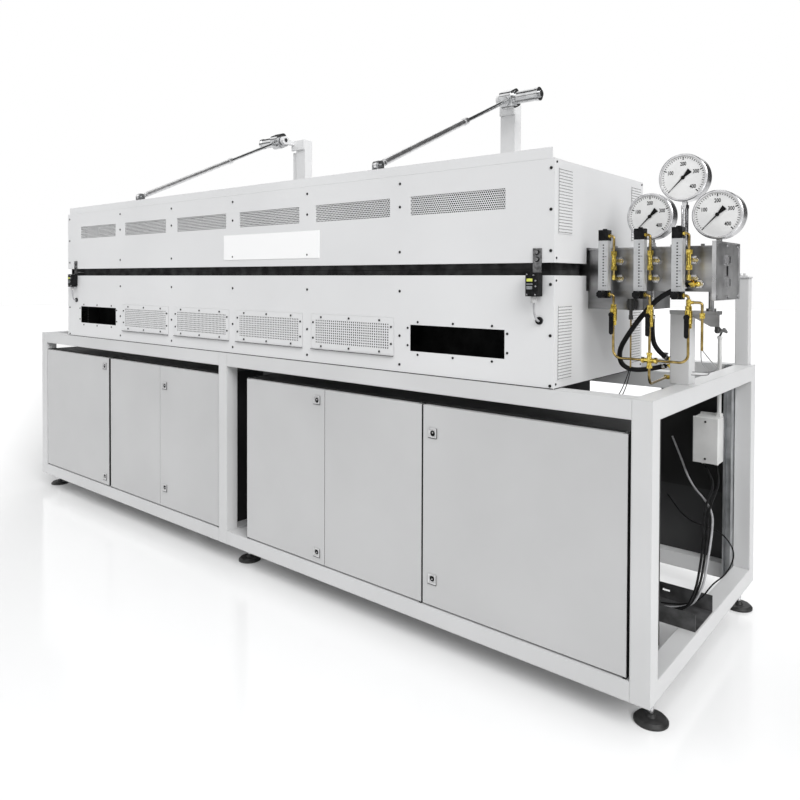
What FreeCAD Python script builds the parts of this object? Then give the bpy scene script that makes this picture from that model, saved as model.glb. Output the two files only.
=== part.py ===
import FreeCAD, Part
import math
import os

# Heat treatment furnace: a long hinged-lid muffle furnace on a welded stand,
# with electrical enclosures below, lid lifting drives behind and a gas train
# at the right-hand outlet. Millimetres, +Z up, +X along the furnace, -Y front.
# Everything is laid out from the front left bottom corner of the stand, then
# moved so that the origin lies on the floor under the middle of the stand.

Vector = FreeCAD.Vector
X_AXIS = Vector(1, 0, 0)
Y_AXIS = Vector(0, 1, 0)
Z_AXIS = Vector(0, 0, 1)

# Stand
STAND_LENGTH = 3800.0
STAND_DEPTH = 1130.0
STAND_HEIGHT = 870.0
TUBE = 60.0
TUBE_WALL = 4.0
MIDDLE_HOOP_X = STAND_LENGTH / 2 - 94.0
FOOT_RAIL_X = STAND_LENGTH / 2 - 15.0
PANEL_THICKNESS = 3.0
PANEL_SETBACK = 8.0
PANEL_NOTCH_FROM_END = 700.0
PANEL_NOTCH_WIDTH = 330.0
PANEL_NOTCH_DROP = 158.0

# Levelling feet
FOOT_HEIGHT = 85.0
FOOT_INSET = 92.0
PAD_DIAMETER = 100.0
PAD_THICKNESS = 14.0
PAD_RIM = 6.0
STEM_DIAMETER = 16.0
STEM_ENGAGEMENT = 30.0
NUT_ACROSS = 27.0
NUT_THICKNESS = 12.0

# Electrical enclosures and their doors
ENCLOSURE_SHEET = 2.5
ENCLOSURE_DEPTH = 236.0
ENCLOSURE_TOP = STAND_HEIGHT - 98.0
ENCLOSURE_SPAN = MIDDLE_HOOP_X - TUBE - 21.0
DOUBLE_WIDTH = 980.0
SINGLE_WIDTH = ENCLOSURE_SPAN - DOUBLE_WIDTH
LEFT_SINGLE_X = TUBE + 3.0
LEFT_DOUBLE_X = LEFT_SINGLE_X + SINGLE_WIDTH + 16.0
RIGHT_SINGLE_X = STAND_LENGTH - TUBE - 8.0 - SINGLE_WIDTH
RIGHT_DOUBLE_X = RIGHT_SINGLE_X - 2.0 - DOUBLE_WIDTH
LIP_WIDTH = 18.0
GEAR_TOP_DROP = 152.0
DOOR_FACE_Y = 4.0
DOOR_THICKNESS = 20.0
DOOR_SHEET = 2.0
DOOR_GAP = 3.0
DOOR_BEHIND_GAP = 2.0
HINGE_INSET = 5.0
HINGE_PIN = 5.0
HINGE_BLOCK = 12.0
RUNNING_CLEARANCE = 0.05
LOCK_SHORT_DROP = 45.0
LOCK_LONG_DROP = 96.0
LOCK_FROM_EDGE = 42.0
LOCK_BEZEL = 34.0
LOCK_BEZEL_PROUD = 1.5
LOCK_INSERT_DIAMETER = 20.0
LOCK_CAM_LENGTH = 46.0
LOCK_CAM_WIDTH = 18.0
LOCK_CAM_THICKNESS = 3.0
LOCK_CAM_CLEARANCE = 1.5

# Lower casing and lid
CASING_X = 331.0
CASING_RIGHT_MARGIN = 308.0
CASING_LENGTH = STAND_LENGTH - CASING_X - CASING_RIGHT_MARGIN
CASING_END = CASING_X + CASING_LENGTH
CASING_Y = 7.0
CASING_DEPTH = 716.0
REAR_CASING_RAIL_Y = CASING_Y + CASING_DEPTH - TUBE - 3.0
CASING_SHEET = 3.0
CASING_TOP = STAND_HEIGHT + 351.0
LID_BOTTOM = CASING_TOP + 39.0
LID_TOP = LID_BOTTOM + 320.0
SPLIT_GAP = 1.0
WINDOW_FIRST_X = CASING_X + 155.0
WINDOW_COUNT = 6
WINDOW_PITCH = (CASING_LENGTH - 233.0) / WINDOW_COUNT
WINDOW_WIDTH = WINDOW_PITCH - 97.0
LOWER_WINDOW_Z = CASING_TOP - 270.0
LOWER_WINDOW_HEIGHT = 94.0
UPPER_WINDOW_Z = LID_TOP - 145.0
UPPER_WINDOW_HEIGHT = 66.0
COVER_MARGIN = 22.0
COVER_SHEET = 2.0
COVER_LIP = 7.0
COVER_ROWS = 7
COVER_SLOT = 4.0
GRILLE_SHEET = 1.5
LOUVRE_WIDTH = 92.0
LOUVRE_HEIGHT = 5.0
LOUVRE_PITCH = 15.0
LOUVRE_FRONT_Y = 34.0
LOUVRE_REAR_Y = CASING_Y + CASING_DEPTH - 111.0
LID_LOUVRE_COUNT = 13
LID_LOUVRE_Z = LID_BOTTOM + 100.0
CASING_LOUVRE_COUNT = 15
CASING_LOUVRE_Z = STAND_HEIGHT + 25.0
NAME_PLATE_X = CASING_X + CASING_LENGTH / 2 - 73.5
NAME_PLATE_Z = LID_BOTTOM + 31.0
NAME_PLATE_WIDTH = 622.0
NAME_PLATE_HEIGHT = 110.0
NAME_PLATE_THICKNESS = 2.0

# Insulation and heating
BAND_SETBACK = 25.0
BAND_HEIGHT = 44.0
BLOCK_SETBACK = 120.0
CHAMBER_WIDTH = 300.0
CHAMBER_LENGTH = CASING_LENGTH - 401.0
CHAMBER_FLOOR = CASING_TOP - 161.0
CHAMBER_ROOF = LID_BOTTOM + 140.0
PIER_COUNT = 7
PIER_WIDTH = 60.0
ELEMENT_DIAMETER = 22.0
ELEMENT_Z = CHAMBER_FLOOR + 55.0
ELEMENT_OVERHANG = 45.0
ELEMENT_CLEARANCE = 1.0

# Retort and its outlet
RETORT_Y = CASING_Y + CASING_DEPTH / 2 + 7.0
RETORT_WIDTH = 248.0
RETORT_BOTTOM = CASING_TOP - 48.0
RETORT_HEIGHT = 132.0
RETORT_WALL = 4.0
RETORT_END_X = STAND_LENGTH + 84.0
RETORT_START_X = CASING_X + 189.0
RETORT_CLEARANCE = 2.0
RETORT_SIDE_CLEARANCE = 8.0
FLANGE_THICKNESS = 6.0
FLANGE_OVERHANG = 8.0
COVER_THICKNESS = 9.0
COVER_OVERLAP = 20.0
SADDLE_LENGTH = 184.0
SADDLE_BOTTOM = RETORT_BOTTOM - 61.0
SADDLE_WALL = 5.0

# Lid hinges
LID_HINGE_STATIONS = (CASING_X + 289.0, CASING_X + CASING_LENGTH / 2 - 0.5, CASING_END - 292.0)
LID_HINGE_SETBACK = 16.0
LID_HINGE_DIAMETER = 24.0
LID_HINGE_PIN = 12.0
LID_HINGE_KNUCKLE = 50.0
LID_HINGE_PLATE = 5.0
LID_HINGE_PLATE_HEIGHT = 90.0
LID_HINGE_KNUCKLE_GAP = 0.5

# Lid lifting rail and drives
LIFT_RAIL_X = CASING_X + 25.0
LIFT_RAIL_LENGTH = CASING_LENGTH - 34.0
LIFT_RAIL_HEIGHT = 35.0
LIFT_RAIL_LEG = 60.0
LIFT_RAIL_SHEET = 4.0
LUG_Y = CASING_Y + 33.0
LUG_Z = LID_TOP + 55.0
LUG_THICKNESS = 8.0
LUG_RADIUS = 17.0
EYE_THICKNESS = 14.0
EYE_SIDE_GAP = 1.0
LINK_PIN = 12.0
LINK_DRIFT = 4.6
EYE_RADIUS = 18.0
PIVOT_Y = STAND_DEPTH - 140.0
PIVOT_Z = LID_TOP + 490.0
LEFT_DRIVE_X = CASING_X + 741.0
RIGHT_DRIVE_X = CASING_END - 750.0
SPINDLE_DIAMETER = 18.0
PUSH_TUBE_DIAMETER = 26.0
PUSH_TUBE_START = 400.0
SPINDLE_OVERLAP = 60.0
BORE_END_MARGIN = 30.0
LIFT_STROKE = 302.0
GEARBOX_SIZE = 84.0
GEARBOX_WIDTH = 64.0
MOTOR_DIAMETER = 58.0
MOTOR_LENGTH = 128.0
TRUNNION_DIAMETER = 24.0
TRUNNION_LENGTH = 34.0
BEARING_WIDTH = 26.0
BEARING_RADIUS = 26.0
MAST_WIDTH = 80.0
MAST_DEPTH = 60.0
MAST_TOP = PIVOT_Z + 4.0
MAST_CAP = 4.0
LEFT_MAST_X = LEFT_DRIVE_X + 70.0
RIGHT_MAST_X = RIGHT_DRIVE_X - 100.0
MAST_DUCT_WIDTH = 36.0
MAST_DUCT_DEPTH = 40.0

# Safety switches
SWITCH_X = CASING_END - 79.0
LEFT_SWITCH_X = CASING_X + 77.0
SWITCH_WIDTH = 44.0
SWITCH_DEPTH = 34.0
SWITCH_BOTTOM = CASING_TOP - 65.0
SWITCH_HEIGHT = 73.0
SWITCH_STANDOFF = 6.0
END_SWITCH_Y = CASING_Y + 23.0
KEY_WIDTH = 30.0
KEY_TOP = LID_BOTTOM + 45.0
KEY_THICKNESS = 4.0
KEY_TONGUE_GAP = 1.0
GLAND_RADIUS = 10.0
GLAND_LENGTH = 20.0
GROMMET_RADIUS = 12.0
GROMMET_DEPTH = 6.0
GROMMET_DROP = 56.0
GROMMET_SHIFT = 8.0
SWITCH_CABLE = 7.0

# Posts on the right-hand end of the stand
FRONT_POST_X = STAND_LENGTH - 80.0
FRONT_POST_Y = RETORT_Y - 1.0
FRONT_POST_TOP = RETORT_BOTTOM - 75.0
REAR_POST_X = STAND_LENGTH - 64.0
REAR_POST_Y = STAND_DEPTH - 54.0
REAR_POST_SIZE = 48.0
REAR_POST_TOP = STAND_HEIGHT + 346.0
SHELF_X = FRONT_POST_X - 3.0
SHELF_LENGTH = 146.0
SHELF_THICKNESS = 12.0
STRUT_X = STAND_LENGTH + 38.0
STRUT_Y = RETORT_Y + 28.0
STRUT_DIAMETER = 16.0
GUSSET_DROP = 38.0

# Gas train
FLOWMETER_X = RETORT_END_X - 312.0
FLOWMETER_PITCH = 115.0
FLOWMETER_COUNT = 3
FLOWMETER_FRONT_Y = RETORT_Y - 192.0
FLOWMETER_WIDTH = 31.0
FLOWMETER_DEPTH = 29.0
FLOWMETER_BOTTOM = RETORT_BOTTOM - 23.0
FLOWMETER_HEIGHT = 216.0
FLOWMETER_TOP_BLOCK = 34.0
FLOWMETER_BOTTOM_BLOCK = 24.0
FLOWMETER_BORE = 12.0
METER_PORT_OFFSET = 33.0
GAS_LINE_Y = FLOWMETER_FRONT_Y + 8.0
KNOB_RADIUS = 12.0
KNOB_LENGTH = 20.0
KNOB_SHAFT = 6.0
GAS_TUBE = 8.0
NUT_LENGTH = 14.0
FITTING_ACROSS = 17.0
FITTING_BODY = 14.0
PORT_NUT_LENGTH = 6.0
PORT_DROP = 20.0
PORT_BEND = 9.0
VALVE_Z = RETORT_BOTTOM - 75.0
VALVE_BODY = 22.0
VALVE_LENGTH = 66.0
VALVE_BOSS = 14.0
LEVER_LENGTH = 62.0
LEVER_WIDTH = 13.0
LEVER_THICKNESS = 3.0
LEVER_STEM = 8.0
TEE_Z = RETORT_BOTTOM + 95.0
ELBOW_Z = RETORT_BOTTOM + 39.0
BULKHEAD_BORE = 14.0
BULKHEAD_ACROSS = 24.0
BULKHEAD_LENGTH = 14.0
CROSS_Z = RETORT_BOTTOM - 211.0
CROSS_ARM = 24.0
SUPPLY_Z = STAND_HEIGHT + 18.0
SUPPLY_END = Vector(FRONT_POST_X - 17.0, FRONT_POST_Y + 17.0, SUPPLY_Z)
BEND_RADIUS = 26.0
SIDE_BRANCH_Z = RETORT_BOTTOM - 31.0
SIDE_BRANCH_X = RETORT_END_X - 10.0
SIDE_BRANCH_END = RETORT_BOTTOM - 171.0

# Pressure gauges
GAUGE_DIAMETER = 152.0
GAUGE_DEPTH = 46.0
GAUGE_FACE_Y = RETORT_Y - 27.0
GAUGE_PLACES = (
    (RETORT_END_X - 226.0, RETORT_BOTTOM + 243.0),
    (RETORT_END_X - 121.0, RETORT_BOTTOM + 361.0),
    (RETORT_END_X - 16.0, RETORT_BOTTOM + 238.0),
)
GAUGE_BEZEL = 7.0
GAUGE_DISH = 5.0
GAUGE_STEM = 16.0
GAUGE_SPINDLE = 5.0
POINTER_LENGTH = 56.0
POINTER_TAIL = 30.0
POINTER_TAIL_HALF = 8.5
POINTER_THICKNESS = 1.2
POINTER_HUB = 6.0
GAUGE_AXIS_Y = RETORT_Y
GAUGE_NUT_LENGTH = 12.0
GAUGE_POLE = 22.0
GAUGE_NECK = 10.0
POINTER_REST = 135.0
THERMOCOUPLE_X = CASING_END + 152.0
THERMOCOUPLE_Y = RETORT_Y - 140.0
THERMOCOUPLE_DIAMETER = 22.0
THERMOCOUPLE_BOTTOM = RETORT_BOTTOM - 91.0
PROBE_TUBE = 5.0
PROBE_TUBE_END = STAND_HEIGHT + 60.0

# Hoses on the retort
HOSE_DIAMETER = 16.0
HOSE_RUN = 78.0
NOSE_RADIUS = 5.0
HOSE_PORT_X = RETORT_END_X - 34.0
HOSE_PORT_Z = RETORT_BOTTOM + 23.0
HOSE_TAIL = 24.0
HOSE_NIPPLES = ((FRONT_POST_Y + 21.0, STAND_HEIGHT + 79.0), (FRONT_POST_Y + 21.0, STAND_HEIGHT + 57.0))
DRAIN_X = RETORT_END_X - 196.0
DRAIN_Y = RETORT_Y - 72.0
DRAIN_LENGTH = 72.0

# Junction box, conduit and cable tray
JUNCTION_X = STAND_LENGTH - 186.0
JUNCTION_Y = STAND_DEPTH - 158.0
JUNCTION_Z = STAND_HEIGHT - 386.0
JUNCTION_SIZE = (94.0, 96.0, 178.0)
CONDUIT_DIAMETER = 16.0
CONDUIT_X = STAND_LENGTH - 102.0
CONDUIT_Y = STAND_DEPTH - 100.0
CONDUIT_TOP = STAND_HEIGHT + 103.0
KNEE_X = STRUT_X + 19.0
KNEE_Y = STRUT_Y + 1.0
KNEE_Z = FRONT_POST_TOP - 50.0
FRAME_CABLE = 8.0
THIN_CABLE = 5.0
SENSOR_WIRE = 3.0
CABLE_RUN = 100.0
THIN_CABLE_RUN = 72.0
SENSOR_WIRE_RUN = 58.0
STRUT_CHANNEL_X = STAND_LENGTH - 92.0
STRUT_CHANNEL_WIDTH = 30.0
STRUT_CHANNEL_SHEET = 2.5
STRUT_CHANNEL_DEPTH = 40.0
TRAY_START_X = MIDDLE_HOOP_X + TUBE
TRAY_END_X = STAND_LENGTH - 5.0
TRAY_Y = STAND_DEPTH / 2 - 150.0
TRAY_WIDTH = 186.0
TRAY_HEIGHT = 58.0
TRAY_SHEET = 2.0
TRAY_SLOT = (26.0, 7.0)
TRAY_SLOT_PITCH = 96.0


# Basic shapes
def block(x, y, z, dx, dy, dz):
    return Part.makeBox(dx, dy, dz, Vector(x, y, z))


def rod(x, y, z, diameter, length, axis=Z_AXIS):
    return Part.makeCylinder(diameter / 2, length, Vector(x, y, z), axis)


def hexagon(x, y, z, across, length, axis=Z_AXIS):
    corner = across / math.sqrt(3)
    points = [
        Vector(corner * math.cos(math.radians(60 * k)), corner * math.sin(math.radians(60 * k)), 0)
        for k in range(7)
    ]
    prism = Part.Face(Part.makePolygon(points)).extrude(Vector(0, 0, length))
    prism.Placement = FreeCAD.Placement(Vector(x, y, z), FreeCAD.Rotation(Z_AXIS, axis))
    return prism


def fused(shapes):
    whole = shapes[0]
    for shape in shapes[1:]:
        whole = whole.fuse(shape)
    return whole.removeSplitter()


def cut_all(shape, tools):
    return shape.cut(Part.makeCompound(tools)) if tools else shape


def hollow_beam(x, y, z, dx, dy, dz, run):
    """A box section tube: run names the axis that it is open along."""
    wall = TUBE_WALL
    margins = [0.0 if axis == run else wall for axis in "xyz"]
    inner = block(
        x + margins[0],
        y + margins[1],
        z + margins[2],
        dx - 2 * margins[0],
        dy - 2 * margins[1],
        dz - 2 * margins[2],
    )
    return block(x, y, z, dx, dy, dz).cut(inner)


def bent_tube(points, diameter, radius):
    """A round bar along straight runs with tangent arcs of one radius at the corners."""
    edges = []
    start = points[0]
    for before, corner, after in zip(points, points[1:], points[2:]):
        into = (corner - before).normalize()
        out = (after - corner).normalize()
        turn = into.getAngle(out)
        reach = radius * math.tan(turn / 2)
        begin = corner - into * reach
        end = corner + out * reach
        bisector = (out - into).normalize()
        centre = corner + bisector * (radius / math.cos(turn / 2))
        middle = centre - bisector * radius
        edges.append(Part.LineSegment(start, begin).toShape())
        edges.append(Part.Arc(begin, middle, end).toShape())
        start = end
    edges.append(Part.LineSegment(start, points[-1]).toShape())
    path = Part.Wire(edges)
    heading = (points[1] - points[0]).normalize()
    profile = Part.Wire([Part.makeCircle(diameter / 2, points[0], heading)])
    return path.makePipeShell([profile], True, False)


def cord(name, points, diameter):
    """A cable or hose: at each corner the arc takes 0.45 of the shorter run."""
    edges = []
    radii = []
    start = points[0]
    for before, corner, after in zip(points, points[1:], points[2:]):
        into = (corner - before).normalize()
        out = (after - corner).normalize()
        turn = into.getAngle(out)
        shorter = min((corner - before).Length, (after - corner).Length)
        reach = 0.45 * shorter
        radius = reach / math.tan(turn / 2)
        radii.append(round(radius / diameter, 1))
        begin = corner - into * reach
        end = corner + out * reach
        bisector = (out - into).normalize()
        centre = corner + bisector * (radius / math.cos(turn / 2))
        edges.append(Part.LineSegment(start, begin).toShape())
        edges.append(Part.Arc(begin, centre - bisector * radius, end).toShape())
        start = end
    edges.append(Part.LineSegment(start, points[-1]).toShape())
    path = Part.Wire(edges)
    heading = (points[1] - points[0]).normalize()
    profile = Part.Wire([Part.makeCircle(diameter / 2, points[0], heading)])
    solid = path.makePipeShell([profile], True, False)
    expected = path.Length * math.pi * diameter ** 2 / 4
    print(name, "length", round(path.Length, 1), "radii in diameters", radii)
    print(name, "volume against section times length", round(solid.Volume / expected, 3))
    return solid


def save(name, shapes):
    """Moves the node into the row's frame and writes it."""
    if not isinstance(shapes, (list, tuple)):
        shapes = [shapes]
    whole = Part.makeCompound([s.copy() for shape in shapes for s in shape.Solids])
    whole.translate(Vector(-STAND_LENGTH / 2, -STAND_DEPTH / 2, FOOT_HEIGHT))
    whole.exportStep("parts/" + name + ".step")
    print(name, "solids", len(whole.Solids), "volume", round(whole.Volume))


# Stand
RIGHT_HOOP_X = STAND_LENGTH - TUBE
HOOPS_X = (0.0, MIDDLE_HOOP_X, RIGHT_HOOP_X)
FOOT_CENTRES = (
    (TUBE / 2, FOOT_INSET),
    (FOOT_RAIL_X + TUBE / 2, FOOT_INSET),
    (STAND_LENGTH - TUBE / 2, FOOT_INSET),
)


def foot_places():
    for x, inset in FOOT_CENTRES:
        yield x, inset
        yield x, STAND_DEPTH - inset


def stem_holes():
    hole = STEM_DIAMETER + 2 * RUNNING_CLEARANCE
    return [rod(x, y, -1, hole, TUBE_WALL + 2) for x, y in foot_places()]


def frame_hoops():
    """Three welded rectangles of box section: both ends and the middle."""
    hoops = []
    for x in HOOPS_X:
        outer = block(x, 0, 0, TUBE, STAND_DEPTH, STAND_HEIGHT)
        opening = block(x, TUBE, TUBE, TUBE, STAND_DEPTH - 2 * TUBE, STAND_HEIGHT - 2 * TUBE)
        inner_width = TUBE - 2 * TUBE_WALL
        cavity_outer = block(
            x + TUBE_WALL,
            TUBE_WALL,
            TUBE_WALL,
            inner_width,
            STAND_DEPTH - 2 * TUBE_WALL,
            STAND_HEIGHT - 2 * TUBE_WALL,
        )
        core_edge = TUBE - TUBE_WALL
        cavity_core = block(
            x,
            core_edge,
            core_edge,
            TUBE,
            STAND_DEPTH - 2 * core_edge,
            STAND_HEIGHT - 2 * core_edge,
        )
        hoop = outer.cut(opening).cut(cavity_outer.cut(cavity_core))
        drain = rod(x + TUBE / 2, STAND_DEPTH / 2, -1, STEM_DIAMETER, TUBE_WALL + 2)
        hoops.append(cut_all(hoop, stem_holes() + [drain]))
    return hoops


def frame_rails():
    """Long rails between the hoops, the rear casing rail and the foot cross rail."""
    rails = []
    top_z = STAND_HEIGHT - TUBE
    rear_y = STAND_DEPTH - TUBE
    for left, right in zip(HOOPS_X, HOOPS_X[1:]):
        start = left + TUBE
        span = right - start
        for y, z in ((0, 0), (0, top_z), (rear_y, 0), (rear_y, top_z), (REAR_CASING_RAIL_Y, top_z)):
            rails.append(hollow_beam(start, y, z, span, TUBE, TUBE, "x"))
    cross = hollow_beam(FOOT_RAIL_X, TUBE, 0, TUBE, STAND_DEPTH - 2 * TUBE, TUBE, "y")
    rails.append(cut_all(cross, stem_holes()))
    return rails


def rear_panel():
    """Sheet that closes the back of both bays, standing on the rear bottom rails."""
    y = STAND_DEPTH - PANEL_SETBACK - PANEL_THICKNESS
    sheets = []
    for left, right in zip(HOOPS_X, HOOPS_X[1:]):
        start = left + TUBE
        sheets.append(
            block(start, y, TUBE, right - start, PANEL_THICKNESS, STAND_HEIGHT - 2 * TUBE)
        )
    hole = 12.0
    first_x = RIGHT_HOOP_X - 420.0
    holes = [
        rod(first_x + 36 * column, y - 1, 96 + 46 * row, hole, PANEL_THICKNESS + 2, Y_AXIS)
        for row in range(3)
        for column in range(2)
    ]
    notch = block(
        STAND_LENGTH - PANEL_NOTCH_FROM_END, y - 1, STAND_HEIGHT - TUBE - PANEL_NOTCH_DROP,
        PANEL_NOTCH_WIDTH, PANEL_THICKNESS + 2, PANEL_NOTCH_DROP + 1,
    )
    sheets[-1] = cut_all(sheets[-1], holes + [notch])
    return sheets


def levelling_feet():
    """Screwed feet: a domed pad, a threaded stem into the tube and its lock nut."""
    feet = []
    for x, y in foot_places():
        rim = rod(x, y, -FOOT_HEIGHT, PAD_DIAMETER, PAD_RIM)
        dome = Part.makeCone(
            PAD_DIAMETER / 2, PAD_DIAMETER / 2 - 8, PAD_THICKNESS - PAD_RIM, Vector(x, y, PAD_RIM - FOOT_HEIGHT)
        )
        stem = rod(x, y, -FOOT_HEIGHT + PAD_THICKNESS / 2, STEM_DIAMETER,
                   FOOT_HEIGHT - PAD_THICKNESS / 2 + STEM_ENGAGEMENT)
        nut = hexagon(x, y, -NUT_THICKNESS, NUT_ACROSS, NUT_THICKNESS)
        socket = Part.makeCone(15, 11, 10, Vector(x, y, -FOOT_HEIGHT + PAD_THICKNESS))
        feet.append(fused([rim, dome, stem, nut, socket]))
    return feet


# Electrical enclosures: shell, doors and quarter-turn locks
SHELL_Y = DOOR_FACE_Y + DOOR_THICKNESS + DOOR_BEHIND_GAP
DOOR_BOTTOM = TUBE + ENCLOSURE_SHEET + DOOR_GAP
DOOR_TOP = ENCLOSURE_TOP - ENCLOSURE_SHEET - DOOR_GAP


def enclosure(x, width, leaves):
    """Open-fronted sheet metal box with an inward lip and hinge tabs over the doors."""
    s = ENCLOSURE_SHEET
    height = ENCLOSURE_TOP - TUBE
    outer = block(x, SHELL_Y, TUBE, width, ENCLOSURE_DEPTH, height)
    inner = block(x + s, SHELL_Y + s, TUBE + s, width - 2 * s, ENCLOSURE_DEPTH - 2 * s, height - 2 * s)
    edge = s + LIP_WIDTH
    mouth = block(x + edge, SHELL_Y - 1, TUBE + edge, width - 2 * edge, s + 2, height - 2 * edge)
    shell = outer.cut(inner).cut(mouth)
    tab_start = DOOR_FACE_Y
    tab_length = SHELL_Y - tab_start + s
    hole = HINGE_PIN + 2 * RUNNING_CLEARANCE
    for pin_x in hinge_lines(x, width, leaves):
        for z in (TUBE, ENCLOSURE_TOP - s):
            tab = block(pin_x - HINGE_INSET, tab_start, z, 2 * HINGE_INSET, tab_length, s)
            tab = tab.cut(rod(pin_x, DOOR_FACE_Y + HINGE_INSET, z - 1, hole, s + 2))
            shell = shell.fuse(tab)
    return shell.removeSplitter()


def hinge_lines(x, width, leaves):
    """Where the door pins stand: one beside each outer edge that a leaf hangs from."""
    left = x + DOOR_GAP + HINGE_INSET
    right = x + width - DOOR_GAP - HINGE_INSET
    return {"left": (left,), "right": (right,), "both": (left, right)}[leaves]


def lock_heights(drop):
    return DOOR_BOTTOM + drop, DOOR_TOP - drop


def door_leaf(x, width, hinge_side, lock_x=None, lock_drop=0.0):
    """A folded door pan with hinge blocks and pins in its corners."""
    height = DOOR_TOP - DOOR_BOTTOM
    t = DOOR_SHEET
    pan = block(x, DOOR_FACE_Y, DOOR_BOTTOM, width, DOOR_THICKNESS, height)
    hollow = block(
        x + t, DOOR_FACE_Y + t, DOOR_BOTTOM + t, width - 2 * t, DOOR_THICKNESS, height - 2 * t
    )
    pan = pan.cut(hollow)
    corner_x = x if hinge_side == "left" else x + width - HINGE_BLOCK
    pin_x = x + HINGE_INSET if hinge_side == "left" else x + width - HINGE_INSET
    pin_y = DOOR_FACE_Y + HINGE_INSET
    pin_reach = DOOR_GAP + ENCLOSURE_SHEET
    pieces = [pan]
    for z, pin_z in ((DOOR_BOTTOM, DOOR_BOTTOM - pin_reach), (DOOR_TOP - HINGE_BLOCK, DOOR_TOP)):
        pieces.append(block(corner_x, DOOR_FACE_Y, z, HINGE_BLOCK, HINGE_BLOCK, HINGE_BLOCK))
        pieces.append(rod(pin_x, pin_y, pin_z, HINGE_PIN, pin_reach))
    leaf = fused(pieces)
    outer_edge = Part.makeCylinder(
        HINGE_INSET * math.sqrt(2), 2 * height, Vector(pin_x, pin_y, DOOR_BOTTOM - height / 2)
    )
    strip_x = x if hinge_side == "left" else x + width - HINGE_INSET
    strip = block(strip_x, DOOR_FACE_Y, DOOR_BOTTOM, HINGE_INSET, HINGE_INSET, height)
    leaf = leaf.cut(strip.cut(outer_edge))
    if lock_x is not None:
        for z in lock_heights(lock_drop):
            half = LOCK_BEZEL / 2
            bezel = block(
                lock_x - half, DOOR_FACE_Y - LOCK_BEZEL_PROUD, z - half,
                LOCK_BEZEL, LOCK_BEZEL_PROUD, LOCK_BEZEL,
            )
            hole = LOCK_INSERT_DIAMETER + 2 * RUNNING_CLEARANCE
            bore = rod(lock_x, DOOR_FACE_Y - 5, z, hole, 10 + DOOR_SHEET, Y_AXIS)
            leaf = leaf.fuse(bezel).cut(bore)
    return leaf.removeSplitter()


def lock_insert(x, z):
    """Round insert with a three-cornered key socket, its spindle and the cam, turned open."""
    face_y = DOOR_FACE_Y - LOCK_BEZEL_PROUD
    cam_y = SHELL_Y + ENCLOSURE_SHEET + LOCK_CAM_CLEARANCE
    barrel = rod(x, face_y, z, LOCK_INSERT_DIAMETER, 12, Y_AXIS)
    spindle = rod(x, face_y, z, 9, cam_y + LOCK_CAM_THICKNESS - face_y, Y_AXIS)
    half = LOCK_CAM_WIDTH / 2
    direction = -1 if z > (DOOR_BOTTOM + DOOR_TOP) / 2 else 1
    low = z - half if direction > 0 else z + half - LOCK_CAM_LENGTH
    cam = block(x - half, cam_y, low, LOCK_CAM_WIDTH, LOCK_CAM_THICKNESS, LOCK_CAM_LENGTH)
    socket = rod(x, face_y - 1, z, 11, 6, Y_AXIS)
    key = rod(x, face_y, z, 6, 5, Y_AXIS)
    return fused([barrel.cut(socket), key, spindle.cut(socket), cam])


# Every leaf: node name, left edge, width, hinge side, lock edge and lock drop
def door_table():
    single = SINGLE_WIDTH - 2 * DOOR_GAP
    leaf = (DOUBLE_WIDTH - 3 * DOOR_GAP) / 2
    left_single = LEFT_SINGLE_X + DOOR_GAP
    left_a = LEFT_DOUBLE_X + DOOR_GAP
    left_b = left_a + leaf + DOOR_GAP
    right_a = RIGHT_DOUBLE_X + DOOR_GAP
    right_b = right_a + leaf + DOOR_GAP
    right_single = RIGHT_SINGLE_X + DOOR_GAP
    edge = LOCK_FROM_EDGE
    return [
        ("left_single_door", left_single, single, "left", left_single + single - edge, LOCK_SHORT_DROP),
        ("left_double_door_a", left_a, leaf, "left", None, 0.0),
        ("left_double_door_b", left_b, leaf, "right", left_b + edge, LOCK_LONG_DROP),
        ("right_double_door_a", right_a, leaf, "left", right_a + leaf - edge, LOCK_SHORT_DROP),
        ("right_double_door_b", right_b, leaf, "right", None, 0.0),
        ("right_single_door", right_single, single, "right", right_single + edge, LOCK_LONG_DROP),
    ]


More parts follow.
